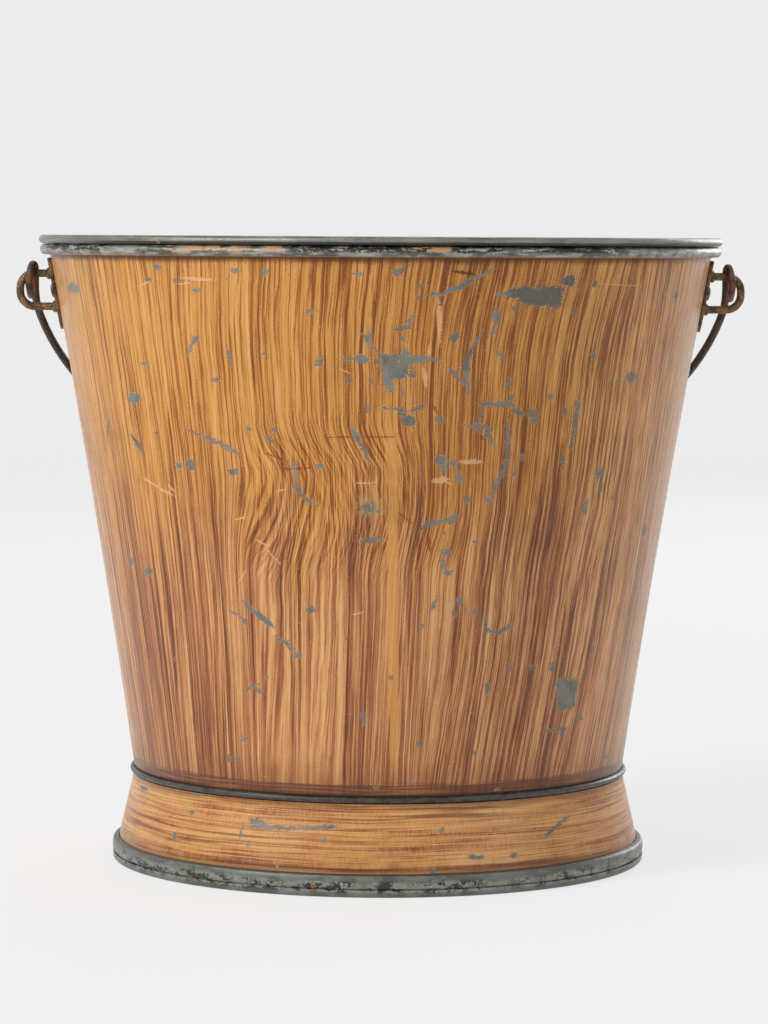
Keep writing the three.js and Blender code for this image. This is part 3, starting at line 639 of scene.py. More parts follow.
def combedFoot():
    paint = newPaint("combedFoot")
    arc, height = surroundMap(paint)
    up = height + paint.lines(arc, height, *footLines["sway"]) * sway["foot"]
    names = ("band", "comb", "hair", "vein", "fades", "cross")
    drifts = [paint.lines(arc, up, *footLines[name]) for name in names]
    band, comb, hair, vein, fades, cross = drifts
    vein = abs(vein).ramp(0.055, 0.015) * fades.ramp(-0.1, 0.1)
    mottle = paint.grain(60, 4, 0.6)
    low = (height + (mottle - 0.5) * 8 * mm).ramp(*levels["footLow"])
    overHoop = (height + (mottle - 0.5) * 9 * mm).ramp(*levels["overHoop"])
    underWaist = (height + (mottle - 0.5) * 7 * mm).ramp(*levels["underWaist"])
    tone = band * (0.25 + low * 0.4) + comb * 1.05 + hair * 0.5 + (mottle - 0.5) * 0.3 + 0.545
    drawn = paint.cover(
        paint.spread(tone - low * 0.06 + cross * 0.24 - vein * 0.12, glaze["foot"]),
        (vein * (comb * 2 + hair).ramp(-0.1, 0.1) * 0.7, combing["footLine"]),
        (overHoop * 0.45, combing["deep"]),
        (underWaist * 0.5, combing["deep"]),
    )
    drawn = specks(paint, drawn, 0.4, 0.5)
    roughness = 0.30 + (mottle - 0.5) * 0.2
    return chipped(paint, arc, height, drawn, roughness, comb * -0.6 + hair * -0.4, False)


# Tin, bare or with what is left of its black paint, and painted shade under the lid's roll and on
# the top of the rim bead
tinLook = shades({
    "grey": (146, 146, 138), "pale": (196, 194, 186), "dark": (88, 86, 78),
    # The second colour of the next row is painted shade for the underside of the lid's roll.
    "black": (30, 27, 24), "shadeUnderRoll": (36, 33, 27), "cream": (206, 176, 134),
    "orange": (170, 118, 74), "painted": (178, 126, 84),
})
rimPaint = {
    "row": 262,
    "edge": 2 * mm,
    # Stretches where the top of the rim bead is black: black paint left on it, and painted shade
    # under the lid's roll.
    "blackPaintAndShade": [(58, 112), (292, 500), (522, 610)],  # from pixel to pixel along the rim
    "flaky": [(172, 285), (412, 452)],
}


def stretchMask(arc, stretches):  # 1 within any of the stretches of the rim
    mask = None
    for start, end in stretches:
        inside = beside(arc, start, end, rimPaint["row"], rimPaint["edge"])
        mask = mask.most(inside) if mask else inside
    return mask


def wornRim():
    paint = newPaint("wornRim")
    arc, height = surroundMap(paint)
    streaky = paint.noise(paint.flat(arc * 110, height * 620), 1, 3, 0.6, "2D")
    grain = paint.grain(800, 4, 0.65)
    cloud = paint.grain(90, 4, 0.6)
    behind = (arc * arc).ramp(0.20 ** 2, 0.24 ** 2)
    blackPaintAndShade, flaky = [stretchMask(arc, rimPaint[name]) for name in ("blackPaintAndShade", "flaky")]
    # Black over the top half of the bead in those stretches and round the back: black paint, and
    # painted shade where the lid's roll sits on the bead.
    crown = (height + (streaky - 0.5) * 3 * mm).ramp(*levels["rimCrown"])
    black = crown * blackPaintAndShade.most(behind * 0.8) * (streaky + grain).ramp(1.10, 0.98)
    flake = height.ramp(*levels["rimFlake"]) * flaky.most(behind * 0.5)
    flake = flake * (streaky - grain * 0.5).ramp(0.22, 0.27)
    crease = (height + (streaky - 0.5) * 1.6 * mm).ramp(*levels["rimCrease"])
    colour = paint.cover(
        tinLook["dark"],
        ((cloud + (streaky - 0.5) * 0.4).ramp(0.36, 0.6), tinLook["grey"]),
        ((streaky + (grain - 0.5) * 0.5).ramp(0.50, 0.66) * 0.5, tinLook["pale"]),
        (black, tinLook["black"]),
        (flake, paint.mix(grain, tinLook["cream"], tinLook["orange"])),
        (crease * 0.75, tinLook["painted"]),
    )
    roughness = 0.36 + (cloud - 0.5) * 0.3 + black * 0.12 + flake * 0.2
    normal = paint.bump(grain + cloud * 2 - black * 0.4, 0.2 * mm)
    return paint.finish(colour, roughness, 0.45 - flake * 0.4 - black * 0.3, normal)


def agedTin(name, flakes):
    paint = newPaint(name)
    x, y, z = paint.x, paint.y, paint.z
    grain = paint.grain(900, 4, 0.65)
    cloud = paint.grain(30, 5, 0.55)
    metal = paint.mix(cloud.ramp(0.3, 0.7) * 0.6 + 0.2, tinLook["dark"], tinLook["grey"])
    straight = paint.flat(x * 24 + y * 9, x * -330 + y * 880, z * 520)
    circling = paint.flat((x * x + y * y) ** 0.5 * 620, x * 24, y * 24 + z * 500)
    for place, share in ((straight, 0.16), (circling, 0.24)):
        rub = paint.noise(place, 1, 3, 0.65)
        amount = cloud.ramp(0.62, 0.40) * share + share * 0.5
        metal = paint.cover(metal, (rub.ramp(0.50, 0.68) * amount, tinLook["pale"]),
                            (rub.ramp(0.42, 0.28) * amount, tinLook["dark"]))
    worn = paint.noise(paint.flat(x * 70, y * 70, z * 500), 1, 2, 0.6)
    crest = z.ramp(*levels["lidCrest"]) * worn.ramp(0.40, 0.56)
    # Painted shade over the lower part of the lid's roll, just above the rim bead, except at the
    # far left.
    under = (z + (worn - 0.5) * 0.8 * mm).ramp(*levels["lidSide"])
    under = under * z.ramp(*levels["lidUnder"]) * x.ramp(-0.147, -0.120)
    spotty = (paint.grain(95, 4, 0.6) + (grain - 0.5) * 0.3).ramp(0.655, 0.69) * flakes
    colour = paint.cover(
        metal,
        (grain.ramp(0.58, 0.70) * 0.5, tinLook["dark"]),
        (crest * 0.6, tinLook["black"]),
        (under * 0.85, tinLook["shadeUnderRoll"]),
        (spotty, paint.mix(grain, tinLook["cream"], tinLook["orange"])),
    )
    roughness = 0.36 + (cloud - 0.5) * 0.35 + spotty * 0.25
    normal = paint.bump(grain + cloud * 3, 0.2 * mm)
    return paint.finish(colour, roughness, 0.5 - spotty * 0.4, normal)


hoopLook = shades({
    "coat": (84, 86, 81), "coatPale": (114, 116, 109), "bare": (142, 143, 132),
    "scab": (34, 33, 29), "rust": (168, 122, 78), "speck": (188, 186, 172),
})
# On the waist moulding the light bare colour also serves as a painted highlight along the
# moulding's lower half.
mouldingLook = {**hoopLook, **shades({
    "coat": (38, 33, 28), "coatPale": (74, 70, 64), "bare": (128, 126, 116),
    "speck": (150, 140, 122),
})}


def wornBlack(name, look, wearTop, wearLow):
    paint = newPaint(name)
    arc, height = surroundMap(paint)
    streaky = paint.noise(paint.flat(arc * 130, height * 330), 1, 3, 0.62, "2D")
    speck = paint.grain(900, 3, 0.6)
    cloud = paint.grain(55, 4, 0.6)
    zone = (height + (cloud - 0.5) * 4 * mm).ramp(wearTop, wearTop - 2 * mm)
    zone = zone * (height + (cloud - 0.5) * 2 * mm).ramp(wearLow, wearLow + 1.5 * mm)
    # Light bare patches in the worn band: worn paint, and on the waist moulding a painted highlight
    # too.
    bare = zone * (streaky + (speck - 0.5) * 0.8).ramp(0.44, 0.56)
    scabs = zone * (streaky + cloud + (speck - 0.5) * 0.9).ramp(0.93, 0.87)
    brink = (height + (streaky - 0.5) * 1.2 * mm).ramp(wearTop + 1.5 * mm, wearTop + 2 * mm)
    rusty = zone * paint.grain(130, 3, 0.6).ramp(0.62, 0.66)
    colour = paint.cover(
        look["coat"],
        ((cloud + (streaky - 0.5) * 0.5).ramp(0.38, 0.62), look["coatPale"]),
        (bare, look["bare"]),
        (scabs * 0.9, look["scab"]),
        (brink * 0.75, look["scab"]),
        (rusty * 0.7, look["rust"]),
        (speck.ramp(0.63, 0.70) * (zone * 0.8 + 0.2), look["speck"]),
    )
    roughness = 0.38 + (cloud - 0.5) * 0.3 + rusty * 0.2
    normal = paint.bump(scabs * 1.2 + speck * 0.6 + cloud * 2, 0.2 * mm)
    return paint.finish(colour, roughness, bare * 0.35, normal)


irons = {
    "ear": [(62, 42, 28), (136, 104, 70), (182, 164, 126)],
    "bail": [(34, 30, 28), (66, 56, 48), (104, 92, 78), (128, 82, 56)],
}


def rustyIron(name, dark, brown, dust, hook=None):
    paint = newPaint(name)
    pit = paint.grain(900, 4, 0.65)
    cloud = paint.grain(130, 4, 0.6)
    colour = paint.mix(cloud.ramp(0.38, 0.60), dark, brown)
    if hook:
        high = (paint.z + (cloud - 0.5) * 8 * mm).ramp(*levels["hookRust"])
        colour = paint.mix(high * cloud.ramp(0.60, 0.44), colour, hook)
    colour = paint.mix(pit.ramp(0.53, 0.66) * 0.6, colour, dust)
    normal = paint.bump(pit + cloud * 2, 0.35 * mm)
    return paint.finish(colour, 0.46 + (pit - 0.5) * 0.5, 0.3, normal)


finishes = {
    "wall": combedWall(),
    "foot": combedFoot(),
    "rim": wornRim(),
    "inside": agedTin("insideTin", 0.0),
    "lid": agedTin("lidTin", 0.55),
    "hoop": wornBlack("hoopBlack", hoopLook, 0.0082, 0.0016),
    # The moulding's worn band lies on its lower half, where its light bare patches are wear and a
    # painted highlight.
    "moulding": wornBlack("mouldingBlack", mouldingLook, 0.0432, 0.0414),
    "ear": rustyIron("earIron", *[shade(*screen) for screen in irons["ear"]]),
    "bail": rustyIron("bailIron", *[shade(*screen) for screen in irons["bail"]]),
}
print("finishes mixed")


def pick(*chosen):  # these alone, in object mode, with the last one active
    if bpy.context.object and bpy.context.object.mode != "OBJECT":
        bpy.ops.object.mode_set(mode="OBJECT")
    bpy.ops.object.select_all(action="DESELECT")
    for made in chosen:
        made.select_set(True)
        bpy.context.view_layer.objects.active = made


def rename(name):
    made = bpy.context.object
    made.name = made.data.name = name
    return made


def smooth(made, angle=pail["smoothAngle"]):
    pick(made)
    bpy.ops.object.shade_smooth_by_angle(angle=math.radians(angle))


def settle(made):  # the object's own place and turn go into its mesh
    pick(made)
    bpy.ops.object.transform_apply(location=True, rotation=True, scale=True)


def modify(made, kind, **settings):
    pick(made)
    modifier = made.modifiers.new(kind.title(), kind)
    for name, value in settings.items():
        setattr(modifier, name, value)
    bpy.ops.object.modifier_apply(modifier=modifier.name)


def bevel(made, width, **limits):
    modify(made, "BEVEL", width=width * mm, segments=2, limit_method="ANGLE", **limits)


def openMesh(made):  # for editing, with all of it selected
    pick(made)
    bpy.ops.object.mode_set(mode="EDIT")
    bpy.ops.mesh.select_all(action="SELECT")


def openPlane(name, place):
    pick()
    bpy.ops.mesh.primitive_plane_add(size=mm, location=place)
    made = rename(name)
    settle(made)
    openMesh(made)
    return made


def weld(distance=1e-6):
    bpy.ops.mesh.select_all(action="SELECT")
    bpy.ops.mesh.remove_doubles(threshold=distance)


def turnOut():  # every face outward, which ends the editing
    bpy.ops.mesh.select_all(action="SELECT")
    bpy.ops.mesh.normals_make_consistent(inside=False)
    bpy.ops.object.mode_set(mode="OBJECT")


def draw(step):  # what is selected is extruded by a step
    bpy.ops.mesh.extrude_region_move(TRANSFORM_OT_translate={"value": step})


def coat(made, finish, body, slot, *nodes):
    made.data.materials.append(finishes[finish])
    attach(made, body)
    if nodes:
        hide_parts(*nodes)


def point(x, y):
    return Vector((x, y))


def points(*places):
    return [point(*place) for place in places]


def bendPath(centre, radius, start, end, steps):
    turns = [start + (end - start) * i / steps for i in range(steps + 1)]
    return [centre + Vector((math.cos(turn), math.sin(turn))) * radius for turn in turns]


def sheetOutline(path, thickness):  # closed outline of a sheet whose middle follows a path
    left, right = [], []
    last = len(path) - 1
    for i, place in enumerate(path):
        before, after = path[max(i - 1, 0)], path[min(i + 1, last)]
        inward, onward = place - before, after - place
        if i == 0:
            inward = onward
        if i == last:
            onward = inward
        normal = Vector((-inward.y, inward.x)).normalized()
        following = Vector((-onward.y, onward.x)).normalized()
        mitre = (normal + following).normalized()
        mitre = mitre * (thickness / 2 / mitre.dot(normal))
        left.append(place + mitre)
        right.insert(0, place - mitre)
    return [*left, *right]


def traceOutline(name, outline):  # a chain of edges in the XZ plane, one vertex after another
    made = openPlane(name, Vector((outline[0].x, 0, outline[0].y)) * mm)
    bpy.ops.mesh.merge(type="CENTER")
    for before, after in zip(outline, outline[1:]):
        draw(Vector((after.x - before.x, 0, after.y - before.y)) * mm)
    return made


def spinOutline(name, outline, sides=pail["sides"]):
    onAxis = outline[0].x == 0 and outline[-1].x == 0
    made = traceOutline(name, outline if onAxis else [*outline, outline[0]])
    weld()
    bpy.ops.mesh.spin(steps=sides, angle=2 * math.pi, center=(0, 0, 0), axis=(0, 0, 1))
    weld(2e-6)
    bpy.ops.mesh.dissolve_degenerate(threshold=1e-7)
    turnOut()
    smooth(made)
    return made


def dress(made, finish, fits):  # another finish on the faces that a test of place and normal picks
    made.data.materials.append(finishes[finish])
    index = len(made.data.materials) - 1
    for face in made.data.polygons:
        if fits(face.center, face.normal):
            face.material_index = index


def facesAxis(centre, normal):
    return centre.x * normal.x + centre.y * normal.y < 0


def fromAxis(outline):  # an outline that starts on the axis, from its inner end, and ends there too
    half = len(outline) // 2
    return [*outline[half:], *outline[:half]][::-1]


# Wall: the lip round the bottom's flange, the taper, and the roll round the rim's wire
wallShape = {
    "lipHeight": 5, "corner": 0.4, "bands": 26, "rollSteps": 22, "rollEnd": -0.72,
    "rollDrop": 2.3, "rollStart": 0.9, "rollCrown": 0.6,
}


def inWall(height):  # the middle of the wall's sheet
    return wallRadius(height) - sheet / 2


def makeWall():
    lipTop, corner = wallLow + wallShape["lipHeight"], wallShape["corner"]
    inset = 2 * (sheet + gap)
    path = points(
        (inWall(lipTop) - inset, lipTop),
        (inWall(wallLow) - inset, wallLow + corner),
        (inWall(wallLow) - inset + corner, wallLow),
        (inWall(wallLow) - corner, wallLow),
        (inWall(wallLow), wallLow + corner),
    )
    span = rollHeight - pail["waistHeight"]
    for i in range(wallShape["bands"]):
        height = pail["waistHeight"] + span * i / wallShape["bands"]
        path.append(point(inWall(height), height))
    roll = (pail["rimRoll"] - sheet) / 2
    centre = point(rollRadius, rollHeight)
    path += bendPath(centre, roll, math.pi, math.pi * wallShape["rollEnd"], wallShape["rollSteps"])
    made = spinOutline("pailWall", sheetOutline(path, sheet))
    coat(made, "wall", "pail", "combed_paint", "body_shell")
    dress(made, "inside", facesAxis)

    def onRoll(centre, normal):
        outside = math.hypot(centre.x, centre.y) > (mouthRadius + wallShape["rollStart"]) * mm
        crown = centre.z > (rollHeight + wallShape["rollCrown"]) * mm
        return crown or (outside and centre.z > (rollHeight - wallShape["rollDrop"]) * mm)

    dress(made, "rim", onRoll)
    return made


wall = makeWall()
print("wall turned")

# Locked seam down the back of the wall
seam = {"width": 6, "rise": 0.8, "depth": 0.25, "steps": 14, "bevel": 0.28, "moulding": 3}


def makeSeam():
    low = pail["waistHeight"] + seam["moulding"] + 2 * gap
    high = rollHeight - pail["rimRoll"] / 2
    made = openPlane("wallSeam", (0, 0, low * mm))
    thick = seam["rise"] + seam["depth"]
    bpy.ops.transform.resize(value=(thick, seam["width"], 1))
    start = wallRadius(low) + thick / 2 - seam["depth"]
    bpy.ops.transform.translate(value=(start * mm, 0, 0))
    heights = [low + (high - low) * i / seam["steps"] for i in range(seam["steps"] + 1)]
    for before, after in zip(heights, heights[1:]):
        draw(Vector((wallRadius(after) - wallRadius(before), 0, after - before)) * mm)
    turnOut()
    bevel(made, seam["bevel"])
    made.rotation_euler.z = seamTurn
    settle(made)
    smooth(made, 50)
    coat(made, "wall", "pail", "combed_paint")


makeSeam()

# Bottom: a stepped disc with a flange
bottom = {"flange": 8, "step": 2, "stepInset": 33, "corner": 0.3, "bend": 0.8}


def makeBottom():
    low = wallLow + sheet / 2 + gap
    disc = low + bottom["flange"]
    raised = disc + bottom["step"]
    inner = pail["waistRadius"] - bottom["stepInset"]
    upper = inner - bottom["step"]
    outer = inWall(disc) - sheet - gap
    corner, bend = bottom["corner"], bottom["bend"]
    path = points(
        (0, raised), (upper - 0.5, raised), (upper + corner, raised - corner),
        (inner - corner, disc + corner), (inner + 0.5, disc), (outer - bend, disc),
        (outer, disc - bend), (inWall(low) - sheet - gap, low),
    )
    made = spinOutline("pailBottom", fromAxis(sheetOutline(path, sheet)))
    coat(made, "inside", "pail", "tinned_sheet", "body_bottom")


makeBottom()


# Foot: a flared skirt, hemmed up outside a half-round hoop
def makeFoot():
    middle = sheet / 2
    waist, collar, seat = pail["waistHeight"], foot["collar"], foot["hoopHeight"] + gap
    onWall = wallRadius(waist) + gap + middle
    inner = foot["skirtRadius"] - middle
    outer = foot["radius"] - middle
    bend = foot["hemBend"]
    path = [
        *points(
            (onWall, waist), (onWall + collar * 0.03, waist - collar * 0.6),
            (onWall + collar * 0.12, waist - collar - 0.4), (inner - 0.25, seat + 1.2),
            (inner, seat - 0.4),
        ),
        *bendPath(point(inner + bend, middle + bend), bend, math.pi, 1.5 * math.pi, 5),
        *bendPath(point(outer - bend, middle + bend), bend, -0.5 * math.pi, 0, 5),
        point(outer, foot["hemHeight"]),
    ]
    made = spinOutline("footSkirt", sheetOutline(path, sheet))
    coat(made, "foot", "pail", "combed_paint", "foot_skirt")
    dress(made, "inside", facesAxis)
    dress(made, "hoop", lambda centre, normal: centre.z < (foot["hemHeight"] + 0.5) * mm)


def halfTurns(steps):  # from straight down to straight up
    return [-math.pi / 2 + math.pi * i / steps for i in range(steps + 1)]


def makeHoop():
    inside = foot["skirtRadius"] + gap
    underHem = foot["radius"] - sheet - gap
    low = sheet + gap
    hemTop = foot["hemHeight"] + gap
    bulge = (foot["hoopHeight"] - hemTop) / 2
    outline = points((inside, low), (underHem, low), (underHem, hemTop))
    for turn in halfTurns(foot["hoopSteps"])[1:-1]:
        fullness = foot["hoopFullness"] * (1 if turn > 0 else 0.5)
        across = inside + foot["hoopThickness"] * max(math.cos(turn), 0) ** fullness
        outline.append(point(across, hemTop + bulge + bulge * math.sin(turn)))
    outline.append(point(inside, foot["hoopHeight"]))
    made = spinOutline("footHoop", outline)
    coat(made, "hoop", "pail", "worn_paint", "foot_hoop")


moulding = {"height": 3, "rise": 1.8, "steps": 12}


def makeMoulding():
    low = pail["waistHeight"] + gap
    half = moulding["height"] / 2
    outline = []
    for turn in halfTurns(moulding["steps"]):
        height = low + half + half * math.sin(turn)
        outline.append(point(wallRadius(height) + gap + moulding["rise"] * math.cos(turn), height))
    made = spinOutline("waistMoulding", outline)
    coat(made, "moulding", "pail", "worn_paint", "waist_moulding")


makeFoot()
makeHoop()
makeMoulding()
print("bottom and foot turned")


# Ears: a shield-shaped plate, a wire loop clinched through it, and two rivets each
ear = {
    "hingeHeight": 279.8, "loopWire": 3.8, "loopDrop": 15.8, "loopReach": 174.4,
    "loopStraight": 164, "upperBend": 6.8, "lowerBend": 7,
    "shoulderRadius": 2.9, "shoulderLength": 2, "clinchRadius": 3.1, "clinchHeight": 1.4,
    "plateTop": 287.4, "plateWidth": 38, "plateHeight": 34, "plateThickness": 1.5,
    "plateCorner": 5, "plateToe": 6, "plateWaist": 0.55, "plateBevel": 0.35,
    "rivetSpread": 11.5, "rivetHeight": 272, "rows": 26, "columns": 24, "halvings": 30,
}


def shieldHalf(height):  # half the plate's width at a height
    half = ear["plateWidth"] / 2
    low = ear["plateTop"] - ear["plateHeight"]
    toe = low + ear["plateToe"]
    shoulder = ear["plateTop"] - ear["plateCorner"]
    if height >= shoulder:
        rise = min(height - shoulder, ear["plateCorner"])
        return half - ear["plateCorner"] + math.sqrt(ear["plateCorner"] ** 2 - rise ** 2)
    if height <= toe:
        return math.sqrt(max(ear["plateToe"] ** 2 - (toe - height) ** 2, 0.2))
    waist = shoulder + (toe - shoulder) * ear["plateWaist"]
    low, high = 0.0, 1.0
    for _ in range(ear["halvings"]):
        t = (low + high) / 2
        s = 1 - t
        at = s ** 3 * shoulder + 3 * s * s * t * waist + 3 * s * t * t * toe + t ** 3 * toe
        low, high = (t, high) if at > height else (low, t)
    side = s ** 3 * half + 3 * s * s * t * half + 3 * s * t * t * ear["plateToe"] * 1.5
    return side + t ** 3 * ear["plateToe"]


def makePlate():
    pick()
    bpy.ops.mesh.primitive_grid_add(
        x_subdivisions=ear["columns"], y_subdivisions=ear["rows"], size=1,
        location=(0.2, 0, 0), rotation=(math.radians(90), 0, math.radians(90)),
    )
    made = rename("earPlateRight")
    settle(made)
    rows = sorted({round(vertex.co.z, 5) for vertex in made.data.vertices})
    middle = ear["plateTop"] - ear["plateHeight"] / 2
    bpy.ops.object.mode_set(mode="EDIT")
    for i, row in enumerate(rows):
        bpy.ops.mesh.select_all(action="DESELECT")
        bpy.ops.object.mode_set(mode="OBJECT")
        for vertex in made.data.vertices:
            vertex.select = abs(vertex.co.z - row) < 1e-4 and abs(vertex.co.y) < 0.6
        bpy.ops.object.mode_set(mode="EDIT")
        height = middle - ear["plateHeight"] / 2 * math.cos(math.pi * i / (len(rows) - 1))
        bpy.ops.transform.resize(value=(1, 2 * shieldHalf(height) * mm, 1))
        bpy.ops.transform.translate(value=(0, 0, height * mm - row))
    bpy.ops.object.mode_set(mode="OBJECT")
    modify(made, "SHRINKWRAP", target=wall, wrap_method="PROJECT", use_project_x=True,
           use_project_y=False, use_project_z=False, use_negative_direction=True,
           use_positive_direction=False, offset=gap * mm)
    modify(made, "SOLIDIFY", thickness=ear["plateThickness"] * mm, offset=1)
    bevel(made, ear["plateBevel"])
    return made


def bendWire(name, stations, thickness, closed=False):
    pick()
    bpy.ops.curve.primitive_bezier_curve_add(location=(0, 0, 0))
    made = rename(name)
    line = made.data.splines[0]
    line.bezier_points.add(len(stations) - 2)
    for bead, station in zip(line.bezier_points, stations):
        bead.co = Vector(station) * mm
        bead.handle_left_type = bead.handle_right_type = "AUTO"
    line.use_cyclic_u = closed
    line.resolution_u = 4
    made.data.dimensions = "3D"
    made.data.twist_mode = "MINIMUM"
    made.data.bevel_depth = thickness / 2 * mm
    made.data.bevel_resolution = 5
    made.data.use_fill_caps = True
    bpy.ops.object.convert(target="MESH")
    made = bpy.context.object
    openMesh(made)
    weld()
    turnOut()
    smooth(made, 50)
    return made


def makeLoop():
    outer = ear["loopReach"] - ear["loopWire"] / 2
    high = ear["hingeHeight"]
    low = high - ear["loopDrop"]
    inset = sheet + gap + ear["clinchHeight"] / 2
    upper, lower, straight = ear["upperBend"], ear["lowerBend"], ear["loopStraight"]
    path = points((wallRadius(high) - inset, high), (straight, high))
    path += bendPath(point(outer - upper, high - upper), upper, math.pi / 2, 0, 7)
    path += bendPath(point(outer - lower, low + lower), lower, 0, -math.pi / 2, 9)
    path += points((straight, low), (wallRadius(low) - inset, low))
    made = bendWire("earLoopRight", [(place.x, 0, place.y) for place in path], ear["loopWire"])
    inside, outside = -sheet - gap, ear["plateThickness"] + 2 * gap
    tail, flat = ear["clinchRadius"], ear["clinchHeight"]
    head, long = ear["shoulderRadius"], ear["shoulderLength"]
    clinch = points(
        (0, inside - flat), (tail * 0.7, inside - flat), (tail * 0.95, inside - flat * 0.7),
        (tail, inside - flat * 0.3), (tail * 0.97, inside), (0, inside),
    )
    collar = points(
        (0, outside), (head, outside), (head, outside + long * 0.35),
        (head * 0.9, outside + long * 0.7), (ear["loopWire"] * 0.48, outside + long),
        (0, outside + long),
    )
    ends = []
    for height in (high, low):
        for outline in (clinch, collar):
            end = spinOutline("loopEnd", outline, 24)
            end.rotation_euler.y = math.radians(90)
            end.location = (wallRadius(height) * mm, 0, height * mm)
            settle(end)
            ends.append(end)
    pick(*ends, made)
    bpy.ops.object.join()
    return made


rivet = {
    "radius": 1.7, "head": 3.3, "dome": 1.0, "lift": 0.05, "tail": 2.8, "tailHeight": 0.9,
    "sides": 28,
    "domeShares": [
        (1, 0), (1, 0.12), (0.95, 0.36), (0.82, 0.62), (0.6, 0.85), (0.32, 0.97), (0, 1),
    ],
}


def makeRivet(name, grip):  # along +Z, its zero on the outside of what it holds
    outer, inner = grip + rivet["lift"], -sheet - gap
    tail, deep = rivet["tail"], rivet["tailHeight"]
    outline = points(
        (0, inner - deep), (tail * 0.75, inner - deep), (tail * 0.95, inner - deep * 0.6),
        (tail, inner), (rivet["radius"], inner), (rivet["radius"], outer),
    )
    for across, up in rivet["domeShares"]:
        outline.append(point(rivet["head"] * across, outer + rivet["dome"] * up))
    return spinOutline(name, outline, rivet["sides"])


def copyOf(original, name):  # a copy with a mesh of its own
    pick(original)
    bpy.ops.object.duplicate()
    return rename(name)


def makeEars():
    plate, loop = makePlate(), makeLoop()
    head = makeRivet("earRivetRightBack", gap + ear["plateThickness"])
    around = math.asin(ear["rivetSpread"] / wallRadius(ear["rivetHeight"]))
    lean = wallLean(ear["rivetHeight"])
    rivets = []
    for side, turn in (("right", 0), ("left", math.pi)):
        for spread in (-1, 1):
            front = (spread < 0) == (side == "right")
            where = "front" if front else "back"
            first = side == "right" and not front
            made = head if first else copyOf(head, f"earRivet{side.title()}{where.title()}")
            angle = around * spread + turn
            radius = wallRadius(ear["rivetHeight"]) * mm
            tilt = Matrix.Rotation(math.radians(90) + lean, 4, "Y")
            place = Matrix.Translation((radius, 0, ear["rivetHeight"] * mm))
            rivets.append((made, Matrix.Rotation(angle, 4, "Z") @ place @ tilt, side, where))
    for made, matrix, side, where in rivets:
        made.matrix_world = matrix
        settle(made)
        coat(made, "ear", "pail", "ear_iron", f"ear_rivet_{side}_{where}")
    for made, word in ((plate, "plate"), (loop, "loop")):
        other = copyOf(made, f"ear{word.title()}Left")
        other.rotation_euler.z = math.pi
        settle(other)
        smooth(made, 40)
        smooth(other, 40)
        coat(made, "ear", "pail", "ear_iron", f"ear_{word}_right")
        coat(other, "ear", "pail", "ear_iron", f"ear_{word}_left")


makeEars()
print("ears riveted")

# Bail: one wire, hooked round the upper leg of each ear loop
bail = {
    "wire": 3.8, "spread": 5.2, "rise": 17, "hookPlay": 0.6, "hookTip": 14, "strandStep": 2.2,
    "tipCurl": 2.2, "armBlend": 30, "hookSteps": 12, "armSteps": 6, "archSteps": 30, "dipSteps": 40,
}


def blendBetween(value, low, high):
    t = min(max((value - low) / (high - low), 0), 1)
    return t * t * (3 - 2 * t)


def makeBail():
    halfWidth = pail["rimRadius"] + bail["spread"]
    reach = pail["rimRadius"] + bail["rise"]
    hookRadius = ear["loopWire"] / 2 + bail["hookPlay"] + bail["wire"] / 2
    hookCentre = bail["hookPlay"] - gap
    tipAcross = ear["loopReach"] - ear["loopWire"] - 2 * gap - bail["wire"] / 2
    armAcross = tipAcross - bail["strandStep"]
    tip = bail["hookTip"]
    curl = [(bail["tipCurl"], tip), (hookRadius * 0.85, tip * 0.72), (hookRadius, tip * 0.45)]
    half = [(tipAcross, *place) for place in curl]
    for i in range(bail["hookSteps"] + 1):
        t = i / bail["hookSteps"]
        across = tipAcross + (armAcross - tipAcross) * t
        depth = hookRadius * math.cos(math.pi * t)
        half.append((across, depth, hookCentre - hookRadius * math.sin(math.pi * t)))
    for i in range(1, bail["armSteps"]):
        height = hookCentre + (bail["armBlend"] - hookCentre) * i / bail["armSteps"]
        ease = blendBetween(height, hookCentre, bail["armBlend"])
        arch = halfWidth * math.sqrt(1 - (height / reach) ** 2)
        half.append((armAcross + (arch - armAcross) * ease, -hookRadius * (1 - ease), height))
    start = math.asin(bail["armBlend"] / reach)
    for i in range(bail["archSteps"]):
        angle = start + (math.pi / 2 - start) * i / bail["archSteps"]
        half.append((halfWidth * math.cos(angle), 0, reach * math.sin(angle)))
    mirrored = [(-x, y, z) for x, y, z in reversed(half)]
    made = bendWire("bailWire", [*half, (0, 0, reach), *mirrored], bail["wire"])
    dip = 0
    for _ in range(bail["dipSteps"]):
        touch = wallRadius(ear["hingeHeight"] - reach * math.sin(dip))
        dip = math.acos((touch + gap + bail["wire"] / 2) / reach)
    made.location.z = ear["hingeHeight"] * mm
    made.rotation_euler.x = -(math.pi / 2 + dip)
    settle(made)
    coat(made, "bail", "bail_body", "bail_iron", "bail")


makeBail()
print("bail bent")

# Lid: a pan that drops into the mouth, its rolled edge on the rim
lid = {
    "roll": 4, "overhang": 0.5, "play": 1.2, "depth": 9.6, "draft": 4, "floorBend": 2.2,
    "ledgeBend": 1.9, "beadInset": 49.5, "beadWidth": 8, "beadRise": 2, "beadFoot": 1.2,
    "beadSteps": 10, "rollSteps": 20,
}
lidRollRadius = pail["rimRadius"] + lid["overhang"] - lid["roll"] / 2
lidSeat = (pail["rimRoll"] + lid["roll"]) / 2 + gap
lidRollHeight = rollHeight + math.sqrt(lidSeat ** 2 - (lidRollRadius - rollRadius) ** 2)
lidFloor = pail["height"] - lid["depth"] + sheet


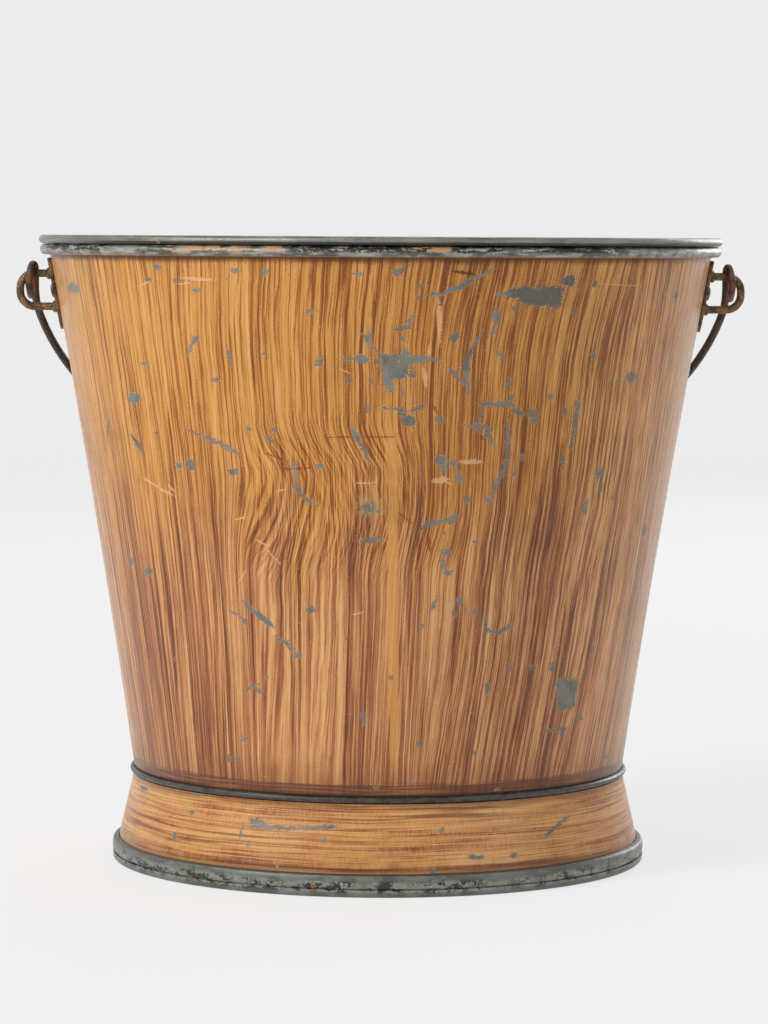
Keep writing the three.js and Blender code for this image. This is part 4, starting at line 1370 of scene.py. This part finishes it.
def makeLid():
    middle = sheet / 2
    floor = lidFloor - middle
    ledge = lidRollHeight + lid["roll"] / 2 - middle
    wallTop = mouthRadius - lid["play"] - middle
    bead, half, rise = mouthRadius - lid["beadInset"], lid["beadWidth"] / 2, lid["beadRise"]
    low, high = lid["floorBend"], lid["ledgeBend"]
    path = points((0, floor), (bead - half - rise - lid["beadFoot"], floor))
    for i in range(lid["beadSteps"] + 1):
        t = i / lid["beadSteps"]
        across = bead - half - rise + 2 * (half + rise) * t
        path.append(point(across, floor + rise * math.sin(math.pi * t) ** 1.3))
    path.append(point(bead + half + rise + lid["beadFoot"], floor))
    path += bendPath(point(wallTop - lid["draft"] - low, floor + low), low, -math.pi / 2, -0.12, 5)
    path += [point(wallTop, ledge - low)]
    path += bendPath(point(wallTop + high, ledge - high), high, math.pi * 0.93, math.pi / 2, 5)
    centre = point(lidRollRadius, lidRollHeight)
    radius, steps = lid["roll"] / 2 - middle, lid["rollSteps"]
    roll = bendPath(centre, radius, math.pi / 2, -1.05 * math.pi, steps)
    made = spinOutline("lidPan", fromAxis(sheetOutline([*path, *roll[1:]], sheet)))
    coat(made, "lid", "lid", "tinned_sheet", "lid_pan")


lidRing = {
    "wire": 3.6, "halfBar": 17, "bend": 5, "play": 0.4, "joint": 0.6,
    "clipSheet": 1.2, "clipWidth": 14, "clipReach": 16, "clipBevel": 0.3, "rivetSpread": 10.5,
}


def makeClip():
    lift = gap + lidRing["wire"] / 2
    strap = lidRing["clipSheet"]
    sole = gap + strap / 2
    bend = lidRing["wire"] / 2 + lidRing["play"] + strap / 2
    path = [
        *points((-lidRing["clipReach"], sole), (-bend - 0.8, sole), (-bend, sole + 0.6)),
        *bendPath(point(0, lift), bend, math.pi, 0, 14),
        *points((bend, sole + 0.6), (bend + 0.8, sole), (lidRing["clipReach"], sole)),
    ]
    outline = sheetOutline(path, strap)
    made = traceOutline("lidRingClip", [*outline, outline[0]])
    weld()
    bpy.ops.mesh.edge_face_add()
    width = lidRing["clipWidth"] * mm
    draw((0, width, 0))
    bpy.ops.mesh.select_all(action="SELECT")
    bpy.ops.transform.translate(value=(0, -width / 2, lidFloor * mm))
    turnOut()
    made.rotation_euler.z = math.radians(90)
    settle(made)
    bevel(made, lidRing["clipBevel"], angle_limit=0.9)
    smooth(made, 40)
    coat(made, "ear", "lid", "ear_iron", "lid_ring_clip")


def makeRing():
    halfBar, bend = lidRing["halfBar"], lidRing["bend"]
    path = points((lidRing["joint"] / 2, 0), (halfBar / 2, 0))
    path += bendPath(point(halfBar, -bend), bend, math.pi / 2, 0, 6)
    path += bendPath(point(0, -bend), halfBar + bend, 0, -math.pi / 2, 12)[1:]
    lift = lidFloor + gap + lidRing["wire"] / 2
    half = [(place.x, place.y, lift) for place in path]
    mirrored = [(-x, y, z) for x, y, z in reversed(half[:-1])]
    made = bendWire("lidRingWire", [*half, *mirrored], lidRing["wire"])
    coat(made, "bail", "ring", "bail_iron", "lid_ring")


def makeLidRivets():
    first = makeRivet("lidRivetFront", gap + lidRing["clipSheet"])
    second = copyOf(first, "lidRivetBack")
    for made, side, node in ((first, -1, "lid_rivet_front"), (second, 1, "lid_rivet_back")):
        made.location = (0, side * lidRing["rivetSpread"] * mm, lidFloor * mm)
        settle(made)
        coat(made, "ear", "lid", "ear_iron", node)


makeLid()
makeClip()
makeRing()
makeLidRivets()
for node in ("rim_wire", "lid_wire"):
    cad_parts[node].data.materials.clear()
    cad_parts[node].data.materials.append(finishes["ear"])
print("lid made")

# Floor, lamps and sky
studio = {
    "floor": shade(246, 246, 246), "far": shade(236, 236, 236), "sky": shade(236, 236, 236),
    "reach": 14, "fade": (0.8, 4.5), "skyLight": 0.38, "seen": 0.78, "aim": (0, 0, 0.15),
}


def makeFloor():
    pick()
    bpy.ops.mesh.primitive_circle_add(vertices=64, radius=studio["reach"], fill_type="NGON")
    floor = rename("studioFloor")
    paint = newPaint("studioFloor")
    away = (paint.place.dot(paint.place) ** 0.5).ramp(*studio["fade"])
    tint = paint.mix(away, studio["floor"], studio["far"])
    plain = paint.node("ShaderNodeBsdfDiffuse", inputs={"Color": tint})
    glow = paint.node("ShaderNodeEmission", inputs={"Color": tint, "Strength": 1.0})
    share = studio["seen"] + away * (1 - studio["seen"])
    mixed = paint.blend(paint.seen() * share, plain, glow)
    paint.node("ShaderNodeOutputMaterial", inputs={"Surface": mixed}, output=None)
    floor.data.materials.append(paint.owner)


def makeSky():
    world = bpy.context.scene.world or bpy.data.worlds.new("sky")
    bpy.context.scene.world = world
    paint = Paint(world)
    skies = ({"Color": (1, 1, 1, 1), "Strength": studio["skyLight"]}, {"Color": studio["sky"]})
    light, shown = [paint.node("ShaderNodeBackground", inputs=sky) for sky in skies]
    mixed = paint.blend(paint.seen(), light, shown)
    paint.node("ShaderNodeOutputWorld", inputs={"Surface": mixed}, output=None)


lamps = [
    {"name": "keyLamp", "place": (-2.0, -1.6, 1.5), "size": 1.2, "power": 46},
    {"name": "fillLamp", "place": (2.0, -1.6, 0.9), "size": 1.6, "power": 5},
    {"name": "backLamp", "place": (0.4, 2.0, 1.8), "size": 1.6, "power": 9},
    {"name": "edgeLamp", "place": (1.5, 2.2, 0.8), "size": 1.2, "power": 17},
]


def makeLamps():
    for lamp in lamps:
        place = Vector(lamp["place"])
        aim = (Vector(studio["aim"]) - place).to_track_quat("-Z", "Y")
        bpy.ops.object.light_add(type="AREA", location=place, rotation=aim.to_euler())
        made = rename(lamp["name"])
        made.data.shape = "DISK"
        made.data.size = lamp["size"]
        made.data.energy = lamp["power"]


makeFloor()
makeSky()
makeLamps()
bpy.context.scene.view_settings.view_transform = "Standard"
print("studio lit")
